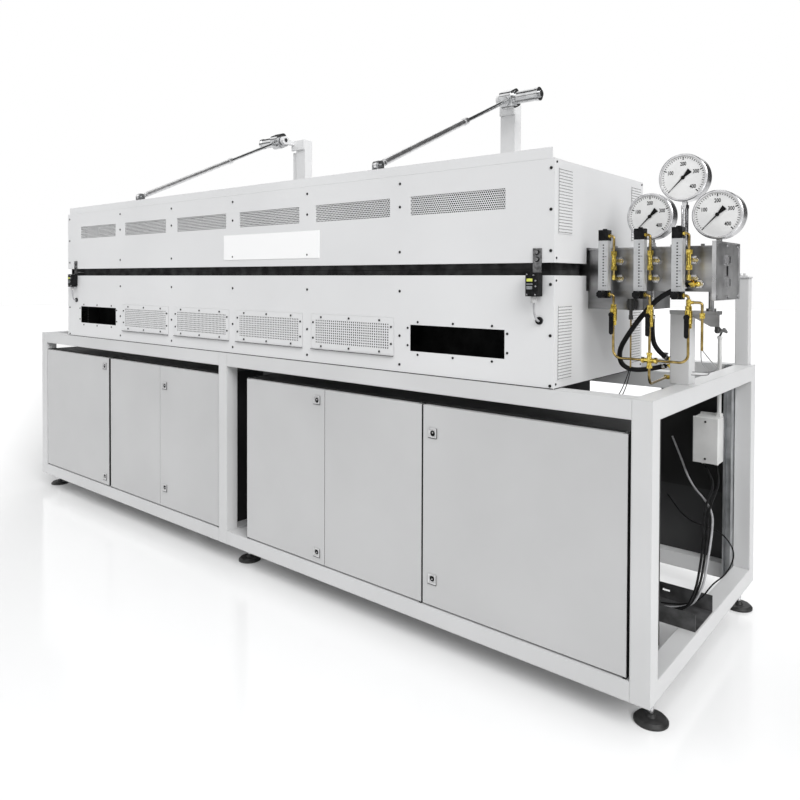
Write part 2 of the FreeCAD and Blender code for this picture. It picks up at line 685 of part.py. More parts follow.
def control_gear():
    """Inside each enclosure: a back plate on spacers, three rails and their modules."""
    back_y = SHELL_Y + ENCLOSURE_DEPTH - ENCLOSURE_SHEET
    spacer = 12.0
    plate_t = 2.5
    rail_depth = 7.5
    gear = []
    enclosures = (
        (LEFT_SINGLE_X, SINGLE_WIDTH),
        (LEFT_DOUBLE_X, DOUBLE_WIDTH),
        (RIGHT_DOUBLE_X, DOUBLE_WIDTH),
        (RIGHT_SINGLE_X, SINGLE_WIDTH),
    )
    for x, width in enclosures:
        plate_x = x + 45.0
        plate_w = width - 90.0
        plate_y = back_y - spacer - plate_t
        parts = [block(plate_x, plate_y, TUBE + 50, plate_w, plate_t, ENCLOSURE_TOP - TUBE - 100)]
        for sx in (plate_x + 20, plate_x + plate_w - 20):
            for z in (TUBE + 80, ENCLOSURE_TOP - 80):
                parts.append(block(sx - 7, plate_y + plate_t, z - 7, 14, spacer, 14))
        for row, (module_w, module_h, module_d, fill) in enumerate(
            ((120.0, 130.0, 110.0, 0.7), (76.0, 90.0, 70.0, 0.85), (18.0, 60.0, 45.0, 0.9))
        ):
            z = ENCLOSURE_TOP - GEAR_TOP_DROP - (ENCLOSURE_TOP - TUBE - 67.0) / 3 * row
            parts.append(block(plate_x + 25, plate_y - rail_depth, z - 17, plate_w - 50, rail_depth, 35))
            count = int((plate_w - 60) * fill / (module_w * (1.0 if row == 2 else 1.25)))
            pitch = (plate_w - 60) * fill / count
            if row == 2:
                strip = block(
                    plate_x + 30, plate_y - rail_depth - module_d, z - module_h / 2,
                    pitch * count, module_d, module_h,
                )
                parts.append(strip)
                continue
            for k in range(count):
                parts.append(
                    block(
                        plate_x + 30 + k * pitch, plate_y - rail_depth - module_d, z - module_h / 2,
                        module_w, module_d, module_h,
                    )
                )
        gear.append(fused(parts))
    return gear


# Furnace casing, covers and lid shell
CASING_REAR_Y = CASING_Y + CASING_DEPTH
RETORT_FRONT_Y = RETORT_Y - RETORT_WIDTH / 2
RETORT_REAR_Y = RETORT_Y + RETORT_WIDTH / 2
RETORT_TOP = RETORT_BOTTOM + RETORT_HEIGHT
SPLIT_Z = (CASING_TOP + LID_BOTTOM) / 2


def window_starts():
    return [WINDOW_FIRST_X + WINDOW_PITCH * k for k in range(WINDOW_COUNT)]


def louvre_slots(first_z, count):
    """Two columns of slots through each end wall."""
    slots = []
    for wall_x in (CASING_X, CASING_END - CASING_SHEET):
        for y in (LOUVRE_FRONT_Y, LOUVRE_REAR_Y):
            for k in range(count):
                z = first_z + k * LOUVRE_PITCH
                slots.append(block(wall_x - 1, y, z, CASING_SHEET + 2, LOUVRE_WIDTH, LOUVRE_HEIGHT))
    return slots


def retort_notch():
    """The opening in the right end walls that the retort passes through."""
    low = RETORT_BOTTOM - RETORT_CLEARANCE
    high = RETORT_TOP + FLANGE_THICKNESS + RETORT_CLEARANCE
    return block(
        CASING_END - CASING_SHEET - 1, RETORT_Y - RETORT_TUNNEL / 2, low,
        CASING_SHEET + 2, RETORT_TUNNEL, high - low,
    )


def lower_casing():
    """Sheet metal tub, open at the top, with six windows and louvred ends."""
    s = CASING_SHEET
    outer = block(CASING_X, CASING_Y, STAND_HEIGHT, CASING_LENGTH, CASING_DEPTH, CASING_TOP - STAND_HEIGHT)
    inner = block(
        CASING_X + s, CASING_Y + s, STAND_HEIGHT + s,
        CASING_LENGTH - 2 * s, CASING_DEPTH - 2 * s, CASING_TOP - STAND_HEIGHT,
    )
    windows = [
        block(x, CASING_Y - 1, LOWER_WINDOW_Z, WINDOW_WIDTH, s + 2, LOWER_WINDOW_HEIGHT)
        for x in window_starts()
    ]
    grommet_bores = [rod(x, CASING_Y - 1, GROMMET_Z, 2 * GROMMET_RADIUS - 6, s + 2, Y_AXIS)
                     for x in GROMMETS_X]
    tools = windows + louvre_slots(CASING_LOUVRE_Z, CASING_LOUVRE_COUNT) + [retort_notch()] + grommet_bores
    return cut_all(outer.cut(inner), tools)


def vent_covers():
    """Screwed covers with a bottom lip over the four middle windows, slotted to breathe."""
    covers = []
    for x in window_starts()[1:-1]:
        left = x - COVER_MARGIN
        width = WINDOW_WIDTH + 2 * COVER_MARGIN
        low = LOWER_WINDOW_Z - COVER_MARGIN
        height = LOWER_WINDOW_HEIGHT + 2 * COVER_MARGIN
        y = CASING_Y - COVER_SHEET
        plate = block(left, y, low, width, COVER_SHEET, height)
        lip = block(left, y - COVER_LIP, low, width, COVER_LIP + COVER_SHEET, COVER_SHEET)
        rows = COVER_ROWS
        pitch = (LOWER_WINDOW_HEIGHT - 8) / rows
        slots = [
            block(x + 4, y - 1, LOWER_WINDOW_Z + 6 + k * pitch, WINDOW_WIDTH - 8, COVER_SHEET + 2, COVER_SLOT)
            for k in range(rows)
        ]
        ribs = [
            block(x + WINDOW_WIDTH * k / 4 - 2, y, LOWER_WINDOW_Z, 4, COVER_SHEET, LOWER_WINDOW_HEIGHT)
            for k in range(1, 4)
        ]
        covers.append(fused([cut_all(plate, slots), lip] + ribs))
    return covers


def lid_casing():
    """Sheet metal hood, open at the bottom, with six upper windows and louvred ends."""
    s = CASING_SHEET
    height = LID_TOP - LID_BOTTOM
    outer = block(CASING_X, CASING_Y, LID_BOTTOM, CASING_LENGTH, CASING_DEPTH, height)
    inner = block(
        CASING_X + s, CASING_Y + s, LID_BOTTOM - 1, CASING_LENGTH - 2 * s, CASING_DEPTH - 2 * s, height - s + 1
    )
    windows = [
        block(x, CASING_Y - 1, UPPER_WINDOW_Z, WINDOW_WIDTH, s + 2, UPPER_WINDOW_HEIGHT)
        for x in window_starts()
    ]
    tools = windows + louvre_slots(LID_LOUVRE_Z, LID_LOUVRE_COUNT) + [retort_notch()]
    shell = cut_all(outer.cut(inner), tools)
    plate = block(
        NAME_PLATE_X, CASING_Y - NAME_PLATE_THICKNESS, NAME_PLATE_Z,
        NAME_PLATE_WIDTH, NAME_PLATE_THICKNESS, NAME_PLATE_HEIGHT,
    )
    return shell.fuse(plate).removeSplitter()


def lid_grilles():
    """Perforated sheets fixed behind the upper windows."""
    margin = COVER_MARGIN
    return [
        block(
            x - margin, CASING_Y + CASING_SHEET, UPPER_WINDOW_Z - margin,
            WINDOW_WIDTH + 2 * margin, GRILLE_SHEET, UPPER_WINDOW_HEIGHT + 2 * margin,
        )
        for x in window_starts()
    ]


# Insulation, heating rods and retort
CHAMBER_X = CASING_X + (CASING_LENGTH - CHAMBER_LENGTH) / 2
CHAMBER_Y = RETORT_Y - CHAMBER_WIDTH / 2
RETORT_TUNNEL = 2 * FLANGE_OVERHANG + RETORT_WIDTH + 2 * RETORT_SIDE_CLEARANCE


def insulation(bottom, top, band_bottom, chamber_z, chamber_height):
    """A block set back from the casing, a dark band at the split and the heated chamber."""
    inset = CASING_SHEET + BLOCK_SETBACK
    body = block(
        CASING_X + inset, CASING_Y + inset, bottom,
        CASING_LENGTH - 2 * inset, CASING_DEPTH - 2 * inset, top - bottom,
    )
    band = block(
        CASING_X + BAND_SETBACK, CASING_Y + BAND_SETBACK, band_bottom,
        CASING_LENGTH - 2 * BAND_SETBACK, CASING_DEPTH - 2 * BAND_SETBACK, BAND_HEIGHT,
    )
    chamber = block(CHAMBER_X, CHAMBER_Y, chamber_z, CHAMBER_LENGTH, CHAMBER_WIDTH, chamber_height)
    tunnel_z = RETORT_BOTTOM - RETORT_CLEARANCE
    tunnel_top = RETORT_TOP + FLANGE_THICKNESS + RETORT_CLEARANCE
    tunnel = block(
        RETORT_START_X - RETORT_CLEARANCE, RETORT_Y - RETORT_TUNNEL / 2, tunnel_z,
        STAND_LENGTH, RETORT_TUNNEL, tunnel_top - tunnel_z,
    )
    return body.fuse(band).cut(chamber).cut(tunnel).removeSplitter()


def element_places():
    """Heating rods lie in the spaces between the piers."""
    bay = CHAMBER_LENGTH / (PIER_COUNT + 1)
    for k in range(PIER_COUNT + 1):
        yield CHAMBER_X + (k + 0.5) * bay


def hearth_insulation():
    """Lower insulation with brick piers that carry the retort over the heating rods."""
    low = STAND_HEIGHT + CASING_SHEET
    top = SPLIT_Z - SPLIT_GAP / 2
    hearth = insulation(low, top, top - BAND_HEIGHT, CHAMBER_FLOOR, top)
    bay = CHAMBER_LENGTH / (PIER_COUNT + 1)
    piers = [
        block(
            CHAMBER_X + bay * k - PIER_WIDTH / 2, CHAMBER_Y, CHAMBER_FLOOR,
            PIER_WIDTH, CHAMBER_WIDTH, RETORT_BOTTOM - CHAMBER_FLOOR,
        )
        for k in range(1, PIER_COUNT + 1)
    ]
    bores = [
        rod(
            x, CHAMBER_Y - ELEMENT_OVERHANG - 1, ELEMENT_Z, ELEMENT_DIAMETER + 2 * ELEMENT_CLEARANCE,
            CHAMBER_WIDTH + 2 * ELEMENT_OVERHANG + 2, Y_AXIS,
        )
        for x in element_places()
    ]
    return cut_all(fused([hearth] + piers), bores)


def heating_rods():
    """Rods across the chamber, resting in bores through the hearth walls."""
    start = CHAMBER_Y - ELEMENT_OVERHANG
    length = CHAMBER_WIDTH + 2 * ELEMENT_OVERHANG
    return [
        rod(x, start, ELEMENT_Z - ELEMENT_CLEARANCE, ELEMENT_DIAMETER, length, Y_AXIS)
        for x in element_places()
    ]


def lid_insulation():
    bottom = SPLIT_Z + SPLIT_GAP / 2
    top = LID_TOP - CASING_SHEET
    return insulation(bottom, top, bottom, bottom - 1, CHAMBER_ROOF - bottom)


def retort():
    """Rectangular stainless muffle, closed inside the furnace, with a flange along its top."""
    w = RETORT_WALL
    length = RETORT_END_X - RETORT_START_X
    outer = block(RETORT_START_X, RETORT_FRONT_Y, RETORT_BOTTOM, length, RETORT_WIDTH, RETORT_HEIGHT)
    inner = block(
        RETORT_START_X + w, RETORT_FRONT_Y + w, RETORT_BOTTOM + w,
        length, RETORT_WIDTH - 2 * w, RETORT_HEIGHT - 2 * w,
    )
    flange = block(
        RETORT_START_X, RETORT_FRONT_Y - FLANGE_OVERHANG, RETORT_TOP,
        length, RETORT_WIDTH + 2 * FLANGE_OVERHANG, FLANGE_THICKNESS,
    )
    shell = outer.cut(inner).fuse(flange)
    ports = [rod(x, RETORT_FRONT_Y - 1, z, BULKHEAD_BORE, w + 2, Y_AXIS) for x, z in bulkheads()]
    ports += [rod(x, GAUGE_AXIS_Y, RETORT_TOP - w - 1, GAUGE_STEM, w + FLANGE_THICKNESS + 2)
              for x, _ in GAUGE_PLACES]
    bolts = [
        hexagon(RETORT_END_X - 30 - 90 * k, y, RETORT_TOP + FLANGE_THICKNESS, 10, 6)
        for k in range(4)
        for y in (RETORT_FRONT_Y + 6, RETORT_REAR_Y - 6)
    ]
    return fused([cut_all(shell, ports)] + bolts)


def retort_end_cover():
    """Cover over the open end, with a loading slot behind a drop bar and fixing screws."""
    extra = COVER_OVERLAP
    width = RETORT_WIDTH + 12
    height = RETORT_HEIGHT + FLANGE_THICKNESS + 2 * extra
    y = RETORT_Y - width / 2
    z = RETORT_BOTTOM - extra - 6
    plate = block(RETORT_END_X, y, z, COVER_THICKNESS, width, height)
    rim = block(RETORT_END_X + COVER_THICKNESS, y, z, 3, width, height)
    rim = rim.cut(block(RETORT_END_X, y + 3, z + 3, 30, width - 6, height - 6))
    middle_z = z + height / 2
    slot = block(RETORT_END_X - 1, RETORT_Y - 11, middle_z - 16, COVER_THICKNESS + 2, 22, 32)
    pieces = [plate.cut(slot), rim]
    face_x = RETORT_END_X + COVER_THICKNESS
    for direction in (-1, 1):
        stirrup = block(face_x, RETORT_Y - 22, middle_z + direction * 34 - 16, 7, 44, 32)
        hollow = block(face_x - 1, RETORT_Y - 14, middle_z + direction * 34 - 12, 9, 28, 24)
        pieces.append(stirrup.cut(hollow))
        pieces.append(block(face_x, RETORT_Y - 34, middle_z + direction * 22 - 3, 5, 68, 6))
    for sy in (y + 14, RETORT_Y, y + width - 14):
        for sz in (z + 10, z + height - 10):
            pieces.append(rod(face_x, sy, sz, 9, 4, X_AXIS))
    return fused(pieces)


def retort_supports():
    """Saddle box on the casing end, and the shelf, gusset and strut on the front post."""
    t = SADDLE_WALL
    height = RETORT_BOTTOM - SADDLE_BOTTOM
    saddle = block(CASING_END, RETORT_FRONT_Y, SADDLE_BOTTOM, SADDLE_LENGTH, RETORT_WIDTH, height)
    hollow = block(
        CASING_END + t, RETORT_FRONT_Y + t, SADDLE_BOTTOM - 1,
        SADDLE_LENGTH - 2 * t, RETORT_WIDTH - 2 * t, height - t + 1,
    )
    shelf = block(SHELF_X, FRONT_POST_Y, FRONT_POST_TOP, SHELF_LENGTH, TUBE, SHELF_THICKNESS)
    shelf_top = FRONT_POST_TOP + SHELF_THICKNESS
    strut = rod(STRUT_X, STRUT_Y, shelf_top, STRUT_DIAMETER, RETORT_BOTTOM - shelf_top)
    collar = rod(STRUT_X, STRUT_Y, shelf_top, STRUT_DIAMETER + 14, 8)
    shelf_end = SHELF_X + SHELF_LENGTH
    post_side = FRONT_POST_X + TUBE
    profile = Part.makePolygon([
        Vector(post_side, STRUT_Y - 3, FRONT_POST_TOP),
        Vector(shelf_end, STRUT_Y - 3, FRONT_POST_TOP),
        Vector(shelf_end, STRUT_Y - 3, FRONT_POST_TOP - GUSSET_DROP),
        Vector(shelf_end - 26, STRUT_Y - 3, FRONT_POST_TOP - GUSSET_DROP),
        Vector(post_side, STRUT_Y - 3, FRONT_POST_TOP - 8),
        Vector(post_side, STRUT_Y - 3, FRONT_POST_TOP),
    ])
    gusset = Part.Face(profile).extrude(Vector(0, 6, 0))
    support = fused([shelf, strut, collar, gusset])
    return [saddle.cut(hollow), support]


def support_posts():
    """Two box section stub posts on the right end rail, the rear one with a bolted cap."""
    front = hollow_beam(
        FRONT_POST_X, FRONT_POST_Y, STAND_HEIGHT, TUBE, TUBE, FRONT_POST_TOP - STAND_HEIGHT, "z"
    )
    size = REAR_POST_SIZE
    rear = hollow_beam(REAR_POST_X, REAR_POST_Y, STAND_HEIGHT, size, size, REAR_POST_TOP - STAND_HEIGHT, "z")
    cap = block(REAR_POST_X - 4, REAR_POST_Y - 4, REAR_POST_TOP, size + 8, size + 8, 6)
    bracket = block(REAR_POST_X + 4, REAR_POST_Y + 6, REAR_POST_TOP + 6, 30, 36, 5)
    bolts = [hexagon(REAR_POST_X + 12 + 14 * k, REAR_POST_Y + 18 + 12 * k, REAR_POST_TOP + 11, 9, 8)
             for k in range(2)]
    return [front, fused([rear, cap, bracket] + bolts)]


# Lid hinges, lifting rail and lugs
HINGE_AXIS_Y = CASING_REAR_Y + LID_HINGE_SETBACK
HINGE_AXIS_Z = SPLIT_Z


def lid_hinges():
    """Fixed leaves on the rear of the casing with the outer knuckles and the pins."""
    leaves = []
    for x in LID_HINGE_STATIONS:
        reach = LID_HINGE_KNUCKLE * 1.5
        pieces = []
        for start in (x - reach, x + LID_HINGE_KNUCKLE / 2):
            knuckle = rod(start, HINGE_AXIS_Y, HINGE_AXIS_Z, LID_HINGE_DIAMETER, LID_HINGE_KNUCKLE, X_AXIS)
            web = block(
                start, CASING_REAR_Y, CASING_TOP - LID_HINGE_PLATE_HEIGHT,
                LID_HINGE_KNUCKLE, LID_HINGE_PLATE, HINGE_AXIS_Z - CASING_TOP + LID_HINGE_PLATE_HEIGHT,
            )
            neck = block(
                start, CASING_REAR_Y, HINGE_AXIS_Z - LID_HINGE_DIAMETER / 2,
                LID_HINGE_KNUCKLE, LID_HINGE_SETBACK, LID_HINGE_DIAMETER / 2,
            )
            pieces += [knuckle, web, neck]
        plate = block(
            x - reach, CASING_REAR_Y, CASING_TOP - LID_HINGE_PLATE_HEIGHT,
            2 * reach, LID_HINGE_PLATE, LID_HINGE_PLATE_HEIGHT - 4,
        )
        pin = rod(x - reach - 4, HINGE_AXIS_Y, HINGE_AXIS_Z, LID_HINGE_PIN, 2 * reach + 8, X_AXIS)
        leaves.append(fused(pieces + [plate, pin]))
    return leaves


def lid_hinge_leaf(x):
    """Moving leaf: the middle knuckle and a plate up the rear of the lid."""
    width = LID_HINGE_KNUCKLE - 2 * LID_HINGE_KNUCKLE_GAP
    start = x - width / 2
    knuckle = rod(start, HINGE_AXIS_Y, HINGE_AXIS_Z, LID_HINGE_DIAMETER, width, X_AXIS)
    plate = block(
        start, CASING_REAR_Y, HINGE_AXIS_Z, width, LID_HINGE_PLATE,
        LID_BOTTOM - HINGE_AXIS_Z + LID_HINGE_PLATE_HEIGHT,
    )
    neck = block(start, CASING_REAR_Y, HINGE_AXIS_Z, width, LID_HINGE_SETBACK, LID_HINGE_DIAMETER / 2)
    bore = rod(start - 1, HINGE_AXIS_Y, HINGE_AXIS_Z, LID_HINGE_PIN + 2 * RUNNING_CLEARANCE, width + 2, X_AXIS)
    return fused([knuckle, plate, neck]).cut(bore)


def lid_lift_rail():
    """Angle along the front top edge of the lid."""
    upright = block(
        LIFT_RAIL_X, CASING_Y, LID_TOP, LIFT_RAIL_LENGTH, LIFT_RAIL_SHEET, LIFT_RAIL_HEIGHT
    )
    leg = block(LIFT_RAIL_X, CASING_Y, LID_TOP, LIFT_RAIL_LENGTH, LIFT_RAIL_LEG, LIFT_RAIL_SHEET)
    return upright.fuse(leg).removeSplitter()


def lift_lug(x):
    """Fork on the lifting rail that holds the link pin."""
    foot_z = LID_TOP + LIFT_RAIL_SHEET
    inner = EYE_THICKNESS / 2 + EYE_SIDE_GAP
    pieces = [
        block(
            x - inner - LUG_THICKNESS, LUG_Y - LUG_RADIUS, foot_z,
            2 * (inner + LUG_THICKNESS), 2 * LUG_RADIUS, 5,
        )
    ]
    for start in (x - inner - LUG_THICKNESS, x + inner):
        pieces.append(block(start, LUG_Y - LUG_RADIUS, foot_z, LUG_THICKNESS, 2 * LUG_RADIUS, LUG_Z - foot_z))
        pieces.append(rod(start, LUG_Y, LUG_Z, 2 * LUG_RADIUS, LUG_THICKNESS, X_AXIS))
    pin_length = 2 * (inner + LUG_THICKNESS) + 12
    pieces.append(rod(x - pin_length / 2, LUG_Y, LUG_Z, LINK_PIN, pin_length, X_AXIS))
    return fused(pieces)


def switch_key(x):
    """Steel strip bolted to the lid whose tongue enters the safety switch."""
    y = CASING_Y - KEY_THICKNESS
    low = SWITCH_BOTTOM + SWITCH_HEIGHT + KEY_TONGUE_GAP
    strip = block(x, y, low, KEY_WIDTH, KEY_THICKNESS, KEY_TOP - low)
    bolts = [
        hexagon(x + KEY_WIDTH / 2, y, KEY_TOP - 12 - 22 * k, 11, 5, Vector(0, -1, 0)) for k in range(2)
    ]
    return fused([strip] + bolts)


def end_switch_key():
    """The same strip on the left end wall of the lid."""
    low = SWITCH_BOTTOM + SWITCH_HEIGHT + KEY_TONGUE_GAP
    x = CASING_X - KEY_THICKNESS
    strip = block(x, END_SWITCH_Y, low, KEY_THICKNESS, KEY_WIDTH, KEY_TOP - low)
    bolts = [
        hexagon(x, END_SWITCH_Y + KEY_WIDTH / 2, KEY_TOP - 12 - 22 * k, 11, 5, Vector(-1, 0, 0))
        for k in range(2)
    ]
    return fused([strip] + bolts)


def lid_brackets():
    keys = [switch_key(x + (SWITCH_WIDTH - KEY_WIDTH) / 2) for x in SWITCHES_X]
    lugs = [lift_lug(x) for x in DRIVES_X]
    leaves = [lid_hinge_leaf(x) for x in LID_HINGE_STATIONS]
    return lugs + keys + [end_switch_key()] + leaves


# Lid lifting drives
DRIVES_X = (LEFT_DRIVE_X, RIGHT_DRIVE_X)
PIVOT_TO_EYE = math.hypot(PIVOT_Y - LUG_Y, PIVOT_Z - LUG_Z)


def laid_on_drive_line(shape, x):
    """Turns a shape built along +X from the pivot down the line to the lid lug."""
    heading = Vector(0, LUG_Y - PIVOT_Y, LUG_Z - PIVOT_Z).normalize()
    across = Vector(1, 0, 0)
    up = across.cross(heading)
    matrix = FreeCAD.Matrix(
        heading.x, across.x, -up.x, x,
        heading.y, across.y, -up.y, PIVOT_Y,
        heading.z, across.z, -up.z, PIVOT_Z,
        0, 0, 0, 1,
    )
    placed = shape.copy()
    placed.Placement = FreeCAD.Placement(matrix).multiply(placed.Placement)
    return placed


def lift_drive(x, outward):
    """Worm gearbox with its spindle, a motor on the outer side and a trunnion on the inner."""
    half = GEARBOX_SIZE / 2
    housing = block(-half, -GEARBOX_WIDTH / 2, -half, GEARBOX_SIZE, GEARBOX_WIDTH, GEARBOX_SIZE)
    long_edges = [e for e in housing.Edges if abs(e.tangentAt(0).y) > 0.9]
    housing = housing.makeFillet(half * 0.55, long_edges)
    nose = rod(half - 2, 0, 0, 44, 16, X_AXIS)
    rear_cap = rod(-half - 8, 0, 0, 38, 10, X_AXIS)
    collar = rod(half + 12, 0, 0, 28, 10, X_AXIS)
    spindle = rod(half, 0, 0, SPINDLE_DIAMETER, PUSH_TUBE_START + SPINDLE_OVERLAP - half, X_AXIS)
    side = outward * GEARBOX_WIDTH / 2
    outer_axis = Vector(0, outward, 0)
    inner_axis = Vector(0, -outward, 0)
    flange = rod(0, side, 0, GEARBOX_SIZE * 0.86, 10, outer_axis)
    motor = rod(0, side, 0, MOTOR_DIAMETER, MOTOR_LENGTH, outer_axis)
    end_cap = rod(0, side + outward * (MOTOR_LENGTH - 16), 0, MOTOR_DIAMETER + 5, 16, outer_axis)
    tail = rod(0, side + outward * MOTOR_LENGTH, 0, MOTOR_DIAMETER * 0.6, 10, outer_axis)
    trunnion = rod(0, -side, 0, TRUNNION_DIAMETER, TRUNNION_LENGTH, inner_axis)
    shoulder = rod(0, -side, 0, TRUNNION_DIAMETER + 14, 4, inner_axis)
    whole = fused([housing, nose, rear_cap, collar, spindle, flange, motor, end_cap, tail, trunnion, shoulder])
    return laid_on_drive_line(whole, x)


def push_tube(x):
    """Tube over the spindle, its coupling and the eye at the lid."""
    tube_end = PIVOT_TO_EYE - EYE_RADIUS - 22
    tube = rod(PUSH_TUBE_START, 0, 0, PUSH_TUBE_DIAMETER, tube_end - PUSH_TUBE_START, X_AXIS)
    collar = rod(PUSH_TUBE_START, 0, 0, PUSH_TUBE_DIAMETER + 6, 22, X_AXIS)
    bore_end = PUSH_TUBE_START + SPINDLE_OVERLAP + LIFT_STROKE + BORE_END_MARGIN
    bore = rod(
        PUSH_TUBE_START - 1, 0, 0, SPINDLE_DIAMETER + 2 * RUNNING_CLEARANCE,
        bore_end - PUSH_TUBE_START + 1, X_AXIS,
    )
    nut = hexagon(tube_end, 0, 0, 22, 12, X_AXIS)
    neck = rod(tube_end, 0, 0, 14, PIVOT_TO_EYE - EYE_RADIUS + 4 - tube_end, X_AXIS)
    eye = rod(PIVOT_TO_EYE, -EYE_THICKNESS / 2, 0, 2 * EYE_RADIUS, EYE_THICKNESS, Y_AXIS)
    hole = rod(
        PIVOT_TO_EYE, -EYE_THICKNESS, 0, LINK_PIN + 2 * LINK_DRIFT, 2 * EYE_THICKNESS, Y_AXIS
    )
    whole = fused([tube, collar, nut, neck, eye]).cut(bore).cut(hole)
    return laid_on_drive_line(whole, x)


def lift_mast(mast_x, drive_x, outward):
    """Box section mast on the rear rail with an arm forward to the trunnion bearing."""
    y = STAND_DEPTH - MAST_DEPTH
    mast = hollow_beam(mast_x, y, STAND_HEIGHT, MAST_WIDTH, MAST_DEPTH, MAST_TOP - MAST_CAP - STAND_HEIGHT, "z")
    cap = block(mast_x, y, MAST_TOP - MAST_CAP, MAST_WIDTH, MAST_DEPTH, MAST_CAP)
    bearing_start = drive_x - outward * (GEARBOX_WIDTH / 2 + 5)
    bearing = rod(bearing_start, PIVOT_Y, PIVOT_Z, 2 * BEARING_RADIUS, BEARING_WIDTH, Vector(-outward, 0, 0))
    bore = rod(
        bearing_start + outward, PIVOT_Y, PIVOT_Z, TRUNNION_DIAMETER + 2 * RUNNING_CLEARANCE,
        BEARING_WIDTH + 2, Vector(-outward, 0, 0),
    )
    low_x = min(bearing_start, bearing_start - outward * BEARING_WIDTH)
    left = min(low_x, mast_x)
    right = max(low_x + BEARING_WIDTH, mast_x + MAST_WIDTH)
    low_z = MAST_TOP - 60.0
    arm = block(low_x, PIVOT_Y, PIVOT_Z - 22, BEARING_WIDTH, y - PIVOT_Y, 26)
    yoke = block(left, y - 10, low_z, right - left, 10, 60)
    return fused([mast, cap, bearing, arm, yoke]).cut(bore)


def lift_masts():
    """Both masts; the left one also carries a cable duct down its outer side."""
    left = lift_mast(LEFT_MAST_X, LEFT_DRIVE_X, -1)
    right = lift_mast(RIGHT_MAST_X, RIGHT_DRIVE_X, 1)
    duct = block(
        LEFT_MAST_X - MAST_DUCT_WIDTH, STAND_DEPTH - MAST_DEPTH + 8, STAND_HEIGHT,
        MAST_DUCT_WIDTH, MAST_DUCT_DEPTH, MAST_TOP - 70 - STAND_HEIGHT,
    )
    return [left, right, duct]


# Safety switches on the casing
SWITCHES_X = (LEFT_SWITCH_X, SWITCH_X)
SWITCH_BACK_Y = CASING_Y - SWITCH_STANDOFF
GROMMET_Z = SWITCH_BOTTOM - GLAND_LENGTH - GROMMET_DROP
GROMMETS_X = tuple(x + SWITCH_WIDTH / 2 + GROMMET_SHIFT for x in SWITCHES_X)


def switch_body():
    """Slim switch head, built with its back on the plane y = 0 and its left edge at x = 0."""
    body = block(0, -SWITCH_DEPTH, 0, SWITCH_WIDTH, SWITCH_DEPTH, SWITCH_HEIGHT)
    upright = [e for e in body.Edges if abs(e.tangentAt(0).z) > 0.9]
    body = body.makeFillet(4, upright)
    gland = rod(SWITCH_WIDTH / 2, -SWITCH_DEPTH / 2, -GLAND_LENGTH, 2 * GLAND_RADIUS, GLAND_LENGTH)
    spacer = block(6, 0, 8, SWITCH_WIDTH - 12, SWITCH_STANDOFF, SWITCH_HEIGHT - 16)
    return fused([body, gland, spacer])


def safety_switches():
    """Three switches and the rubber grommets that their cables enter the casing by."""
    pieces = []
    for x in SWITCHES_X:
        switch = switch_body()
        switch.translate(Vector(x, SWITCH_BACK_Y, SWITCH_BOTTOM))
        pieces.append(switch)
    for x in GROMMETS_X:
        collar = rod(x, CASING_Y, GROMMET_Z, 2 * GROMMET_RADIUS, GROMMET_DEPTH, Vector(0, -1, 0))
        neck = rod(x, CASING_Y, GROMMET_Z, 2 * GROMMET_RADIUS - 6, CASING_SHEET, Y_AXIS)
        pieces.append(fused([collar, neck]))
    end_switch = switch_body()
    end_switch.rotate(Vector(0, 0, 0), Z_AXIS, -90)
    end_switch.translate(Vector(CASING_X - SWITCH_STANDOFF, END_SWITCH_Y + KEY_WIDTH + 7, SWITCH_BOTTOM))
    pieces.append(end_switch)
    end_y = END_SWITCH_Y + KEY_WIDTH / 2
    pieces.append(rod(CASING_X, end_y, GROMMET_Z, 2 * GROMMET_RADIUS, GROMMET_DEPTH, Vector(-1, 0, 0)))
    return pieces


def switch_cables():
    """Short grey cables from the glands into the grommets."""
    cables = []
    top = SWITCH_BOTTOM - GLAND_LENGTH
    y = SWITCH_BACK_Y - SWITCH_DEPTH / 2
    for x, grommet_x in zip(SWITCHES_X, GROMMETS_X):
        start_x = x + SWITCH_WIDTH / 2
        cables.append(
            cord(
                "switch cable",
                [
                    Vector(start_x, y, top),
                    Vector(start_x, y, top - 26),
                    Vector(grommet_x, y + 2, GROMMET_Z + 2),
                    Vector(grommet_x, CASING_Y - GROMMET_DEPTH, GROMMET_Z - 1),
                ],
                SWITCH_CABLE,
            )
        )
    x = CASING_X - SWITCH_STANDOFF - SWITCH_DEPTH / 2
    y = END_SWITCH_Y + KEY_WIDTH / 2
    cables.append(
        cord(
            "end switch cable",
            [
                Vector(x, y, top),
                Vector(x, y, top - 26),
                Vector(x + 1, y + 4, GROMMET_Z + 4),
                Vector(CASING_X - GROMMET_DEPTH, y, GROMMET_Z),
            ],
            SWITCH_CABLE,
        )
    )
    return cables


# Gas train: flowmeters, brass fittings, valves and bent tubes
GAS_STATIONS = tuple(FLOWMETER_X + FLOWMETER_PITCH * k for k in range(FLOWMETER_COUNT))
TUBE_LINES = tuple(x + METER_PORT_OFFSET for x in GAS_STATIONS)
METER_AXIS_Y = FLOWMETER_FRONT_Y + FLOWMETER_DEPTH / 2
PORT_UPPER_Z = FLOWMETER_BOTTOM + FLOWMETER_HEIGHT - PORT_DROP
PORT_LOWER_Z = FLOWMETER_BOTTOM + FLOWMETER_BOTTOM_BLOCK / 2
TEE_HALF = FITTING_BODY / 2 + 9 + NUT_LENGTH
VALVE_TOP = VALVE_Z + VALVE_LENGTH / 2
VALVE_BOTTOM = VALVE_Z - VALVE_LENGTH / 2
CROSS_X = TUBE_LINES[1]
SIDE_TEE_TOP = SIDE_BRANCH_Z + 9
BRANCH_NUT_END = TUBE_LINES[2] + FITTING_BODY / 2 + 8


